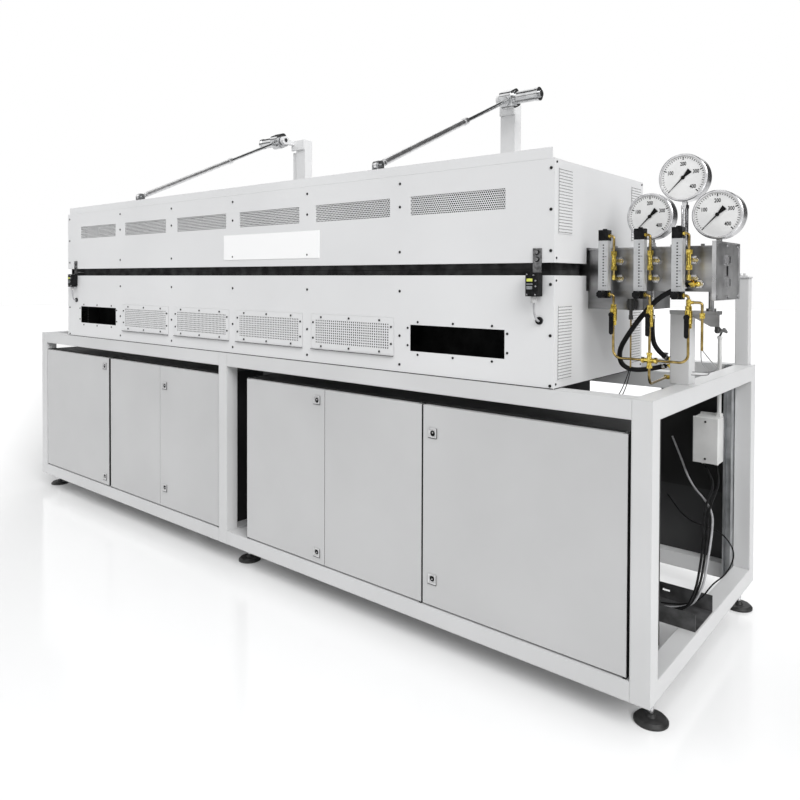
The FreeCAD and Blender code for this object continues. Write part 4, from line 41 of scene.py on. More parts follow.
# The camera stands at chest height off the right-hand end of the furnace and looks
# level along it. Its shift sets the furnace a little low in the square picture.
camera_data = bpy.data.cameras.new("camera")
camera_data.sensor_width = 36
camera_data.lens = 31.928
camera_data.shift_x = 0.00097
camera_data.shift_y = -0.1375
camera_data.clip_end = 100
camera = bpy.data.objects.new("camera", camera_data)
camera.location = (2.6164, -2.5321, 1.2939)
camera.rotation_euler = (math.radians(89.0943), math.radians(-0.193), math.radians(39.7449))
scene.collection.objects.link(camera)
scene.camera = camera

# A white studio: a bright ceiling, dimmer walls and one broad soft lamp from the right.
# Metal mirrors bright lamps with dark between them. The backdrop and the floor look
# white, and the floor keeps the soft shadow.
def ramp(tree, value, first, second, start=0.35, end=0.65):
    """Turns a value into a tone between two colours and returns the colour's socket."""
    tone = tree.nodes.new("ShaderNodeValToRGB")
    tone.color_ramp.elements[0].position = start
    tone.color_ramp.elements[0].color = (*first, 1)
    tone.color_ramp.elements[1].position = end
    tone.color_ramp.elements[1].color = (*second, 1)
    tree.links.new(value, tone.inputs["Fac"])
    return tone.outputs["Color"]


world = bpy.data.worlds.new("studio")
world.use_nodes = True
scene.world = world
sky = world.node_tree
sky_light = sky.nodes["Background"]
sky_light.inputs["Strength"].default_value = 0.98
upward = sky.nodes.new("ShaderNodeTexCoord")
height = sky.nodes.new("ShaderNodeSeparateXYZ")
sky.links.new(upward.outputs["Generated"], height.inputs["Vector"])
dome = ramp(sky, height.outputs["Z"], (0.3, 0.305, 0.31), (0.99, 0.995, 1), start=0.02, end=0.5)
lamps = sky.nodes.new("ShaderNodeTexWave")
lamps.bands_direction = "DIAGONAL"
lamps.inputs["Scale"].default_value = 0.42
lamps.inputs["Distortion"].default_value = 1.5
lamps.inputs["Detail"].default_value = 1
sky.links.new(upward.outputs["Generated"], lamps.inputs["Vector"])
between_lamps = ramp(sky, lamps.outputs["Fac"], (0.06, 0.06, 0.06), (1.25, 1.25, 1.25), start=0.3, end=0.62)
rays = sky.nodes.new("ShaderNodeLightPath")
mirrored = sky.nodes.new("ShaderNodeMix")
mirrored.data_type = "RGBA"
sky.links.new(rays.outputs["Is Glossy Ray"], mirrored.inputs["Factor"])
sky.links.new(dome, mirrored.inputs["A"])
sky.links.new(between_lamps, mirrored.inputs["B"])
sky.links.new(mirrored.outputs["Result"], sky_light.inputs["Color"])
backdrop = sky.nodes.new("ShaderNodeBackground")
backdrop.inputs["Color"].default_value = (1, 1, 1, 1)
backdrop.inputs["Strength"].default_value = 1.0
seen = sky.nodes.new("ShaderNodeMath")
seen.operation = "MAXIMUM"
sky.links.new(rays.outputs["Is Camera Ray"], seen.inputs[0])
sky.links.new(rays.outputs["Is Transmission Ray"], seen.inputs[1])
either = sky.nodes.new("ShaderNodeMixShader")
sky.links.new(seen.outputs["Value"], either.inputs["Fac"])
sky.links.new(sky_light.outputs["Background"], either.inputs[1])
sky.links.new(backdrop.outputs["Background"], either.inputs[2])
sky.links.new(either.outputs["Shader"], sky.nodes["World Output"].inputs["Surface"])

lamp_data = bpy.data.lights.new("softbox", "SUN")
lamp_data.energy = 1.9
lamp_data.angle = math.radians(34)
lamp = bpy.data.objects.new("softbox", lamp_data)
towards_lamp = Vector((0.75, -0.37, 0.6))
lamp.rotation_euler = towards_lamp.to_track_quat("Z", "Y").to_euler()
scene.collection.objects.link(lamp)

floor_mesh = bmesh.new()
bmesh.ops.create_grid(floor_mesh, x_segments=1, y_segments=1, size=30)
floor_data = bpy.data.meshes.new("floor")
floor_mesh.to_mesh(floor_data)
floor_mesh.free()
floor = bpy.data.objects.new("floor", floor_data)
scene.collection.objects.link(floor)
floor_paper = bpy.data.materials.new("floor_paper")
floor_paper.use_nodes = True
paper_tree = floor_paper.node_tree
paper = paper_tree.nodes["Principled BSDF"]
paper.inputs["Base Color"].default_value = (0.88, 0.88, 0.88, 1)
paper.inputs["Roughness"].default_value = 0.12
paper.inputs["Emission Color"].default_value = (1, 1, 1, 1)
paper_rays = paper_tree.nodes.new("ShaderNodeLightPath")
paper_glow = paper_tree.nodes.new("ShaderNodeMath")
paper_glow.operation = "MULTIPLY"
paper_glow.inputs[1].default_value = 0.04
paper_tree.links.new(paper_rays.outputs["Is Camera Ray"], paper_glow.inputs[0])
paper_tree.links.new(paper_glow.outputs["Value"], paper.inputs["Emission Strength"])
floor_data.materials.append(floor_paper)


# The hoses, cables and thin wires of the furnace are rubber or plastic sheathed. Each
# runs between two fittings and hangs in its own curve.
def finish(name, dark, light, patch, rough, grain, relief, metal=0.0, stretch=(1, 1, 1),
           soft_edge=0.0, shine=0.5):
    """A surface whose tone drifts between two colours over patches of one size, with
    uneven gloss and a fine relief of one grain. Sizes are in metres."""
    material = bpy.data.materials.new(name)
    material.use_nodes = True
    nodes, links = material.node_tree.nodes, material.node_tree.links
    shader = nodes["Principled BSDF"]
    shader.inputs["Metallic"].default_value = metal
    shader.inputs["Specular IOR Level"].default_value = shine
    place = nodes.new("ShaderNodeTexCoord")
    drawn = nodes.new("ShaderNodeMapping")
    drawn.inputs["Scale"].default_value = stretch
    links.new(place.outputs["Object"], drawn.inputs["Vector"])
    cloud = nodes.new("ShaderNodeTexNoise")
    cloud.name = "cloud"
    cloud.inputs["Scale"].default_value = 1 / patch
    cloud.inputs["Detail"].default_value = 4
    links.new(drawn.outputs["Vector"], cloud.inputs["Vector"])
    links.new(ramp(material.node_tree, cloud.outputs["Fac"], dark, light), shader.inputs["Base Color"])
    gloss = nodes.new("ShaderNodeMapRange")
    gloss.inputs["To Min"].default_value = rough * 0.8
    gloss.inputs["To Max"].default_value = rough * 1.2
    links.new(cloud.outputs["Fac"], gloss.inputs["Value"])
    links.new(gloss.outputs["Result"], shader.inputs["Roughness"])
    speckle = nodes.new("ShaderNodeTexNoise")
    speckle.inputs["Scale"].default_value = 1 / grain
    links.new(drawn.outputs["Vector"], speckle.inputs["Vector"])
    bump = nodes.new("ShaderNodeBump")
    bump.inputs["Distance"].default_value = relief
    links.new(speckle.outputs["Fac"], bump.inputs["Height"])
    if soft_edge:
        rounded = nodes.new("ShaderNodeBevel")
        rounded.samples = 4
        rounded.inputs["Radius"].default_value = soft_edge
        links.new(rounded.outputs["Normal"], bump.inputs["Normal"])
    links.new(bump.outputs["Normal"], shader.inputs["Normal"])
    return material


def hang(name, route, thickness, node, sheath):
    """One cord along its route, standing for its part of the CAD node."""
    line = bpy.data.curves.new(name, "CURVE")
    line.dimensions = "3D"
    line.bevel_depth = thickness / 2
    line.bevel_resolution = 4
    line.use_fill_caps = True
    spline = line.splines.new("NURBS")
    spline.points.add(len(route) - 1)
    for point, place in zip(spline.points, route):
        point.co = (*place, 1)
    spline.order_u = 3
    spline.use_endpoint_u = True
    spline.resolution_u = 8
    line.materials.append(sheath)
    piece = bpy.data.objects.new(name, line)
    scene.collection.objects.link(piece)
    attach(piece, "base")
    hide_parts(node)


hose_wide, switch_lead_wide, cable_wide, loop_wide, wire_wide = 0.016, 0.007, 0.008, 0.005, 0.003
hose_rubber = finish("hose_rubber", (0.006, 0.006, 0.006), (0.016, 0.016, 0.017), 0.03, 0.45, 0.002,
                     0.0002, shine=0.08)
cable_black = finish("cable_black", (0.006, 0.006, 0.006), (0.018, 0.018, 0.019), 0.02, 0.4, 0.0015,
                     0.0001, shine=0.08)
cable_grey = finish("cable_grey", (0.3, 0.3, 0.31), (0.42, 0.42, 0.43), 0.02, 0.4, 0.0015, 0.0001)
wire_grey = finish("wire_grey", (0.16, 0.16, 0.17), (0.3, 0.3, 0.3), 0.02, 0.4, 0.001, 0.0001)

hang("long_hose", [
    (1.9213, -0.3434, 1.2792), (1.8517, -0.3501, 1.2526), (1.795, -0.351, 1.193), (1.7448, -0.3459, 1.128),
    (1.7002, -0.3264, 1.0621), (1.6909, -0.2702, 1.0052), (1.7348, -0.207, 0.9902), (1.8016, -0.1751, 1.0107),
], hose_wide, "gas_hoses", hose_rubber)
hang("short_hose", [
    (1.7876, -0.2646, 1.181), (1.783, -0.2594, 1.1203), (1.7851, -0.2269, 1.0663), (1.8044, -0.1771, 1.0364),
], hose_wide, "gas_hoses", hose_rubber)

hang("left_switch_cable", [
    (-1.47, -0.581, 1.221), (-1.47, -0.581, 1.195), (-1.462, -0.579, 1.167), (-1.462, -0.564, 1.164),
], switch_lead_wide, "switch_cables", cable_grey)
hang("right_switch_cable", [
    (1.535, -0.581, 1.221), (1.535, -0.581, 1.195), (1.543, -0.579, 1.167), (1.543, -0.564, 1.164),
], switch_lead_wide, "switch_cables", cable_grey)
hang("end_switch_cable", [
    (-1.592, -0.52, 1.221), (-1.592, -0.52, 1.195), (-1.591, -0.516, 1.169), (-1.575, -0.52, 1.165),
], switch_lead_wide, "switch_cables", cable_grey)

hang("first_box_cable", [
    (1.7409, 0.4434, 0.5531), (1.7859, 0.388, 0.5236), (1.8204, 0.3023, 0.5048), (1.8197, 0.2134, 0.4691),
    (1.8364, 0.1281, 0.4296), (1.8602, 0.0465, 0.3856), (1.8714, -0.024, 0.3225), (1.8722, -0.0797, 0.2448),
    (1.8348, -0.0905, 0.1657), (1.74, -0.0928, 0.155),
], cable_wide, "frame_cables", cable_black)
hang("second_box_cable", [
    (1.7899, 0.4428, 0.5531), (1.8245, 0.3667, 0.5182), (1.8331, 0.2697, 0.4843), (1.8368, 0.1747, 0.4435),
    (1.8607, 0.0837, 0.3997), (1.8777, 0.0025, 0.3386), (1.8792, -0.0575, 0.2542), (1.8425, -0.0732, 0.168),
    (1.74, -0.0758, 0.155),
], cable_wide, "frame_cables", cable_black)
hang("panel_cable", [
    (1.579, 0.553, 0.622), (1.6325, 0.5007, 0.5519), (1.6817, 0.4268, 0.5007), (1.7379, 0.3462, 0.4723),
    (1.8004, 0.2656, 0.4605), (1.8527, 0.1802, 0.4397), (1.8753, 0.0899, 0.3973), (1.8857, 0.0104, 0.334),
    (1.8858, -0.044, 0.2472), (1.8416, -0.0563, 0.1672), (1.74, -0.0588, 0.155),
], cable_wide, "frame_cables", cable_grey)
hang("thin_loop", [
    (1.562, 0.553, 0.367), (1.6057, 0.4997, 0.3519), (1.6488, 0.445, 0.3413), (1.6888, 0.387, 0.3432),
    (1.7275, 0.3285, 0.3509), (1.7698, 0.2731, 0.3615), (1.8192, 0.225, 0.3754), (1.8837, 0.21, 0.364),
    (1.9224, 0.2071, 0.3109), (1.9236, 0.1486, 0.2747), (1.9167, 0.08, 0.2596), (1.8985, 0.0128, 0.2498),
    (1.8701, -0.015, 0.1963), (1.8098, -0.025, 0.164), (1.74, -0.0271, 0.155),
], loop_wide, "frame_cables", cable_black)
hang("knee_cable", [
    (1.9565, -0.139, 1.1326), (1.9458, -0.0376, 1.1235), (1.9228, 0.0671, 1.1131), (1.8954, 0.1709, 1.1066),
    (1.8634, 0.2737, 1.1079), (1.8293, 0.3758, 1.1086), (1.7938, 0.4607, 1.0719),
], cable_wide, "frame_cables", cable_black)
hang("left_sensor_wire", [
    (1.9718, -0.377, 1.087), (1.9583, -0.3356, 1.0484), (1.9571, -0.281, 1.0273), (1.9545, -0.2255, 1.0089),
    (1.9321, -0.1764, 0.9873), (1.88, -0.171, 0.987),
], wire_wide, "frame_cables", wire_grey)
hang("right_sensor_wire", [
    (1.9762, -0.377, 1.087), (1.986, -0.3273, 1.0518), (1.9827, -0.269, 1.0319), (1.9725, -0.2101, 1.0162),
    (1.9376, -0.1641, 0.9975), (1.88, -0.157, 0.995),
], wire_wide, "frame_cables", wire_grey)
hang("left_probe_wire", [
    (1.7424, -0.333, 1.015), (1.7279, -0.3394, 0.9592), (1.7037, -0.354, 0.9079), (1.679, -0.369, 0.857),
], wire_wide, "frame_cables", cable_black)
hang("right_probe_wire", [
    (1.7456, -0.333, 1.015), (1.7369, -0.3393, 0.9596), (1.7173, -0.3539, 0.9081), (1.697, -0.369, 0.857),
], wire_wide, "frame_cables", cable_black)


# Worm-drive clamps hold the two hoses on their fittings. Each is a band of bright
# steel with a small screw housing on its outer side.
def set_down(shape, name, body, material, smooth=False):
    """Turns a finished bmesh into a piece that rides on a body."""
    bmesh.ops.remove_doubles(shape, verts=shape.verts, dist=0.00001)
    bmesh.ops.recalc_face_normals(shape, faces=shape.faces)
    data = bpy.data.meshes.new(name)
    shape.to_mesh(data)
    shape.free()
    if smooth:
        data.shade_smooth()
        data.set_sharp_from_angle(angle=math.radians(35))
    data.materials.append(material)
    piece = bpy.data.objects.new(name, data)
    scene.collection.objects.link(piece)
    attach(piece, body)
    return piece


def facing(direction, place):
    """Stands a shape made along Z on a place, turned to a direction."""
    return Matrix.Translation(place) @ Vector(direction).to_track_quat("Z", "Y").to_matrix().to_4x4()


def disc(shape, stand, radius, depth, segments, top=None):
    """Adds a round disc to a bmesh. Its top may have a radius of its own."""
    bmesh.ops.create_cone(shape, cap_ends=True, segments=segments, radius1=radius,
                          radius2=radius if top is None else top, depth=depth, matrix=stand)


bright_steel = finish("bright_steel", (0.5, 0.5, 0.51), (0.7, 0.7, 0.71), 0.01, 0.24, 0.0004, 0.00004,
                      metal=1.0)
band_radius, band_wide = 0.0092, 0.009
housing_radius, housing_long, housing_out = 0.0035, 0.014, 0.011
clamps = bmesh.new()
for place, heading in (
    ((1.9124, -0.3443, 1.2758), (-0.93, -0.09, -0.356)),
    ((1.7871, -0.264, 1.174), (-0.07, 0.08, -0.99)),
    ((1.792, -0.1797, 1.0078), (-0.9, -0.4, -0.25)),
    ((1.8008, -0.186, 1.042), (-0.3, -0.8, 0.5)),
):
    band = facing(heading, place)
    housing = band @ Matrix.Translation((0, housing_out, 0)) @ Matrix.Rotation(math.pi / 2, 4, "Y")
    disc(clamps, band, band_radius, band_wide, 24)
    disc(clamps, housing, housing_radius, housing_long, 8)
set_down(clamps, "hose_clamps", "base", bright_steel, smooth=True)


# The stand is welded from 60 mm box section and powder coated pale grey. The posts
# are the same tube with the same coat. The masts have it too, drawn a shade lighter as painted light.
def coat(material, *names):
    """Gives CAD nodes their finish."""
    for name in names:
        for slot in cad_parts[name].material_slots:
            slot.material = material


def zone(material, low, high, dark, light, rough, metal):
    """Gives what lies inside a box its own two tones, gloss and metal."""
    nodes, links = material.node_tree.nodes, material.node_tree.links

    def worked_out(kind, operation, first, second=None):
        """One node of arithmetic on a socket and a second socket or number."""
        node = nodes.new(kind)
        node.operation = operation
        links.new(first, node.inputs[0])
        if isinstance(second, bpy.types.NodeSocket):
            links.new(second, node.inputs[1])
        elif second is not None:
            node.inputs[1].default_value = second
        return node.outputs[0]

    middle = [(a + b) / 2 for a, b in zip(low, high)]
    half = [(b - a) / 2 for a, b in zip(low, high)]
    place = nodes.new("ShaderNodeTexCoord")
    from_middle = worked_out("ShaderNodeVectorMath", "SUBTRACT", place.outputs["Object"], middle)
    distance = worked_out("ShaderNodeVectorMath", "ABSOLUTE", from_middle)
    beyond = nodes.new("ShaderNodeSeparateXYZ")
    links.new(worked_out("ShaderNodeVectorMath", "SUBTRACT", distance, half), beyond.inputs["Vector"])
    wider = worked_out("ShaderNodeMath", "MAXIMUM", beyond.outputs["X"], beyond.outputs["Y"])
    widest = worked_out("ShaderNodeMath", "MAXIMUM", wider, beyond.outputs["Z"])
    inside = worked_out("ShaderNodeMath", "LESS_THAN", widest, 0.0)

    shader = nodes["Principled BSDF"]
    colour = nodes.new("ShaderNodeMix")
    colour.data_type = "RGBA"
    links.new(inside, colour.inputs["Factor"])
    links.new(shader.inputs["Base Color"].links[0].from_socket, colour.inputs["A"])
    links.new(ramp(material.node_tree, nodes["cloud"].outputs["Fac"], dark, light), colour.inputs["B"])
    links.new(colour.outputs["Result"], shader.inputs["Base Color"])
    for socket, value in (("Roughness", rough), ("Metallic", metal)):
        blend = nodes.new("ShaderNodeMix")
        links.new(inside, blend.inputs["Factor"])
        if shader.inputs[socket].links:
            links.new(shader.inputs[socket].links[0].from_socket, blend.inputs["A"])
        else:
            blend.inputs["A"].default_value = shader.inputs[socket].default_value
        blend.inputs["B"].default_value = value
        links.new(blend.outputs["Result"], shader.inputs[socket])


frame_paint = finish("frame_paint", (0.59, 0.592, 0.594), (0.635, 0.637, 0.64), 0.5, 0.4, 0.0016,
                     0.00006, soft_edge=0.006)
coat(frame_paint, "frame_hoops", "frame_rails", "support_posts")
# Painted light: the masts' copy of the coat is lighter, to brighten their shaded faces.
mast_painted_light_coat = finish("mast_painted_light_coat", (0.74, 0.742, 0.745), (0.78, 0.782, 0.785), 0.5, 0.4, 0.0016,
                    0.00006, soft_edge=0.004)
coat(mast_painted_light_coat, "lift_masts")

# The enclosures between the posts are drawn near black outside and pale inside.
# Each of the four has its own pale zone, which ends within its walls.
enclosure_paint = finish("enclosure_paint", (0.012, 0.012, 0.012), (0.028, 0.028, 0.029), 0.4, 0.5,
                         0.0016, 0.00006, shine=0.2)
room_front, room_back, room_floor, room_top = -0.5368, -0.3052, 0.1472, 0.8548
for left, right in ((-1.8348, -1.0942), (-1.0738, -0.0982), (0.1072, 1.0828), (1.0892, 1.8298)):
    zone(enclosure_paint, (left, room_front, room_floor), (right, room_back, room_top),
         (0.42, 0.42, 0.425), (0.48, 0.48, 0.485), 0.45, 0.0)
coat(enclosure_paint, "left_enclosures", "right_enclosures")

# The rear panel is dark grey sheet steel, lighter towards the floor, with rows of cable
# holes low down beside the right-hand bay.
panel_grey = finish("panel_grey", (0.02, 0.02, 0.02), (0.055, 0.055, 0.056), 0.35, 0.4, 0.002, 0.00008,
                    stretch=(1, 1, 0.4), shine=0.3)
lighter_below = 0.42
zone(panel_grey, (-2, 0.5, 0), (2, 0.6, lighter_below), (0.035, 0.035, 0.036), (0.07, 0.07, 0.071), 0.45, 0.0)
coat(panel_grey, "rear_panel")

# Levelling feet: a moulded black pad on a bright plated stem with its lock nut. The
# pad's zone of the shared CAD piece is rubber and the rest is plated steel.
foot_finish = finish("foot_finish", (0.5, 0.5, 0.51), (0.68, 0.68, 0.69), 0.02, 0.25, 0.001, 0.00005,
                     metal=1.0)
pad_top = 0.0265
zone(foot_finish, (-3, -3, -0.1), (3, 3, pad_top), (0.012, 0.012, 0.012), (0.03, 0.03, 0.03), 0.5, 0.0)
coat(foot_finish, "levelling_feet")

# Six folded doors with a fine textured coat, a shade darker than the stand. Their side edges and a
# strip along their feet are darkened as painted shade in the gaps. The quarter-turn locks have a black
# insert.
door_paint = finish("door_paint", (0.505, 0.506, 0.508), (0.55, 0.551, 0.553), 0.6, 0.42, 0.0012,
                    0.00008, soft_edge=0.003)
lock_black = finish("lock_black", (0.006, 0.006, 0.006), (0.02, 0.02, 0.02), 0.004, 0.35, 0.0006,
                    0.00003, shine=0.08)
edge_front, edge_back, edge_reach = -0.5592, -0.53, 0.0006
door_foot, strip_top, door_top = 0.147, 0.1515, 0.9
gap_shade_tones = ((0.01, 0.01, 0.01), (0.02, 0.02, 0.02))
# Painted shade: dark zones on the doors' side edges and along their feet.
for x in (-1.834, -1.095, -1.073, -0.5875, -0.5845, -0.099, 0.108, 0.5935, 0.5965, 1.082, 1.09, 1.829):
    zone(door_paint, (x - edge_reach, edge_front, 0.14), (x + edge_reach, edge_back, door_top),
         *gap_shade_tones, 0.6, 0.0)
zone(door_paint, (-2, edge_front, door_foot), (2, edge_back, strip_top), *gap_shade_tones, 0.6, 0.0)
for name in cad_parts:
    if name.endswith(("_door", "_door_a", "_door_b")):
        coat(door_paint, name)
    if "_lock" in name:
        coat(lock_black, name)


# Each quarter-turn lock sits in a raised square surround of bright zinc, and the pin of
# its key socket shows as a bright spot. Thin dark strips below and right of each surround are painted shadow.
def small_plate(bm, centre, size):
    """A thin rectangular plate with softened edges."""
    plate = bmesh.ops.create_cube(bm, size=1)
    bmesh.ops.scale(bm, vec=size, verts=plate["verts"])
    bmesh.ops.translate(bm, vec=centre, verts=plate["verts"])
    edges = list({e for v in plate["verts"] for e in v.link_edges})
    bmesh.ops.bevel(bm, geom=edges, offset=min(size) * 0.3, segments=1, profile=0.5, material=-1,
                    affect="EDGES")


bezel_metal = finish("bezel_metal", (0.55, 0.55, 0.555), (0.7, 0.7, 0.705), 0.01, 0.3, 0.0008,
                     0.00003, metal=0.5)
surround_y, surround_reach = -0.5639, 0.0145
surround_wide, bar_wide, bar_deep = 0.034, 0.005, 0.0028
shadow_strip_y, shadow_strip_deep = -0.5634, 0.0018
pin_y, pin_radius, pin_tip, pin_long = -0.5626, 0.0026, 0.0022, 0.0016
doors_and_locks = (
    ("left_single", "left_single_door", "left_single_{}_lock", -1.137, 0.1935, 0.8085),
    ("left_double", "left_double_door_b", "left_double_{}_lock_b", -0.542, 0.2445, 0.7575),
    ("right_double", "right_double_door_a", "right_double_{}_lock_a", 0.5515, 0.1935, 0.8085),
    ("right_single", "right_single_door", "right_single_{}_lock", 1.132, 0.2445, 0.7575),
)
for name, door, lock, x, low, high in doors_and_locks:
    surrounds, shadow_strips = bmesh.new(), bmesh.new()
    for z in (low, high):
        for side in (-surround_reach, surround_reach):
            small_plate(surrounds, (x, surround_y, z + side), (surround_wide, bar_deep, bar_wide))
            small_plate(surrounds, (x + side, surround_y, z), (bar_wide, bar_deep, 0.026))
        # Painted shadow: thin dark strips under and to the right of the surround.
        small_plate(shadow_strips, (x, shadow_strip_y, z - 0.0182), (0.038, shadow_strip_deep, 0.0024))
        small_plate(shadow_strips, (x + 0.0179, shadow_strip_y, z), (0.0016, shadow_strip_deep, 0.034))
    set_down(surrounds, name + "_lock_surrounds", door, bezel_metal)
    set_down(shadow_strips, name + "_lock_shadow_strips", door, lock_black)
    for place, z in (("lower", low), ("upper", high)):
        pin = bmesh.new()
        disc(pin, facing((0, -1, 0), (x, pin_y, z)), pin_radius, pin_long, 16, top=pin_tip)
        set_down(pin, name + "_" + place + "_socket_pin", lock.format(place), bezel_metal, smooth=True)

# Behind the doors a plated back plate carries rails with contactors and terminals in
# grey moulded cases.
gear_finish = finish("gear_finish", (0.5, 0.5, 0.5), (0.62, 0.62, 0.62), 0.05, 0.35, 0.003, 0.00005,
                     metal=1.0)
rail_front = -0.325
zone(gear_finish, (-3, -0.6, 0), (3, rail_front, 1), (0.16, 0.165, 0.17), (0.3, 0.31, 0.32), 0.5, 0.0)
coat(gear_finish, "control_gear")

# The furnace casing and the lid are folded sheet steel with a pale fine textured coat.
# A plain white plate is fixed to the middle of the lid's front.
pale_tones = ((0.69, 0.692, 0.697), (0.73, 0.732, 0.737))
casing_paint = finish("casing_paint", *pale_tones, 0.7, 0.42, 0.0012, 0.00008, soft_edge=0.003)
# Painted shade: inside the casing the coat is near black, so the windows look dark.
inside_low, inside_high = (-1.567, -0.5563, 0.957), (1.5905, 0.1563, 1.2)
zone(casing_paint, inside_low, inside_high,
     (0.02, 0.02, 0.02), (0.035, 0.035, 0.035), 0.8, 0.0)
coat(casing_paint, "lower_casing", "lid_lift_rail")
lid_paint = finish("lid_paint", *pale_tones, 0.7, 0.42, 0.0012, 0.00008, soft_edge=0.003)
plate_low, plate_high = (-0.063, -0.6, 1.375), (0.561, -0.5575, 1.487)
zone(lid_paint, plate_low, plate_high,
     (0.93, 0.93, 0.93), (0.95, 0.95, 0.95), 0.3, 0.0)
coat(lid_paint, "lid_casing")


# Perforated sheet: the covers over the four middle lower windows have straight rows of
# small holes, and the sheets behind the upper windows have staggered rows.
def repeat(shape, step, copies):
    """Adds copies of all of a bmesh, each one step further on."""
    bmesh.ops.spin(shape, geom=shape.verts[:] + shape.edges[:] + shape.faces[:], cent=(0, 0, 0),
                   axis=(0, 0, 1), dvec=step, angle=0, steps=copies, use_duplicate=True)


def fresh_verts(made):
    """The vertices among what a bmesh operator made."""
    return [v for v in made["geom"] if isinstance(v, bmesh.types.BMVert)]


def punched(holes, rows, across, up, hole, stagger):
    """Cells with a round hole each, laid out in rows on the plane z = 0 from the origin."""
    sheet = bmesh.new()
    bmesh.ops.create_circle(sheet, cap_ends=False, segments=8, radius=hole / 2)
    square = bmesh.ops.create_grid(sheet, x_segments=2, y_segments=2, size=0.5)
    bmesh.ops.scale(sheet, vec=(across, up, 1), verts=square["verts"])
    centre = [v for v in square["verts"] if v.co.length < 0.0001]
    bmesh.ops.delete(sheet, geom=centre, context="VERTS")
    bmesh.ops.delete(sheet, geom=sheet.faces[:], context="FACES_ONLY")
    bmesh.ops.bridge_loops(sheet, edges=sheet.edges)
    repeat(sheet, (across, 0, 0), holes - 1)
    if stagger:
        row = bmesh.ops.duplicate(sheet, geom=sheet.verts[:] + sheet.edges[:] + sheet.faces[:])
        bmesh.ops.translate(sheet, vec=(across / 2, up, 0), verts=fresh_verts(row))
        repeat(sheet, (0, 2 * up, 0), rows // 2 - 1)
    else:
        repeat(sheet, (0, up, 0), rows - 1)
    bmesh.ops.remove_doubles(sheet, verts=sheet.verts, dist=0.00001)
    return sheet


def stand_up(sheet, verts, place):
    """Stands flat vertices of a sheet upright, with their face to the front."""
    bmesh.ops.rotate(sheet, cent=(0, 0, 0), matrix=Matrix.Rotation(math.pi / 2, 3, "X"), verts=verts)
    bmesh.ops.translate(sheet, vec=place, verts=verts)


window_pitch = 0.488
first_grille = (-1.4165, -0.555, 1.5215)
grille_mesh = punched(50, 10, 0.008, 0.0072, 0.006, stagger=True)
stand_up(grille_mesh, grille_mesh.verts, first_grille)
repeat(grille_mesh, (window_pitch, 0, 0), 5)
grille_steel = finish("grille_steel", (0.72, 0.722, 0.727), (0.77, 0.772, 0.777), 0.2, 0.42, 0.002,
                      0.00005)
grilles = set_down(grille_mesh, "upper_grilles", "lid", grille_steel)
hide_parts("lid_grilles")

cover_x, cover_y, cover_z = -0.7305, -0.56, 1.083
cover_wide, cover_high = 0.435, 0.138
field_wide, field_high = 0.3888, 0.096
first_hole = (-0.9196, cover_y, 1.0398)
lip_deep, below_field = 0.0065, 1.0145
cover_mesh = punched(36, 10, 0.0108, 0.0096, 0.0062, stagger=False)
stand_up(cover_mesh, cover_mesh.verts, first_hole)
margins = bmesh.ops.create_grid(cover_mesh, x_segments=1, y_segments=1, size=0.5)
bmesh.ops.scale(cover_mesh, vec=(field_wide, field_high, 1), verts=margins["verts"])
margin_face = [f for f in cover_mesh.faces if all(v in margins["verts"] for v in f.verts)]
field_edges = list(margin_face[0].edges)
bmesh.ops.delete(cover_mesh, geom=margin_face, context="FACES_ONLY")
rim_verts = fresh_verts(bmesh.ops.extrude_edge_only(cover_mesh, edges=field_edges))
bmesh.ops.scale(cover_mesh, vec=(cover_wide / field_wide, cover_high / field_high, 1), verts=rim_verts)
stand_up(cover_mesh, list(set(margins["verts"] + rim_verts)), (cover_x, cover_y, cover_z))
bottom_edge = [e for e in cover_mesh.edges
               if all(v.co.z < below_field for v in e.verts)
               and abs(e.verts[0].co.x - e.verts[1].co.x) > field_wide]
lip = bmesh.ops.extrude_edge_only(cover_mesh, edges=bottom_edge)
bmesh.ops.translate(cover_mesh, vec=(0, -lip_deep, 0), verts=fresh_verts(lip))
repeat(cover_mesh, (window_pitch, 0, 0), 3)
covers = set_down(cover_mesh, "lower_covers", "base", casing_paint)
sheet_metal = covers.modifiers.new("sheet metal", "SOLIDIFY")
sheet_metal.thickness = 0.0012
sheet_metal.offset = -1
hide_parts("vent_covers")


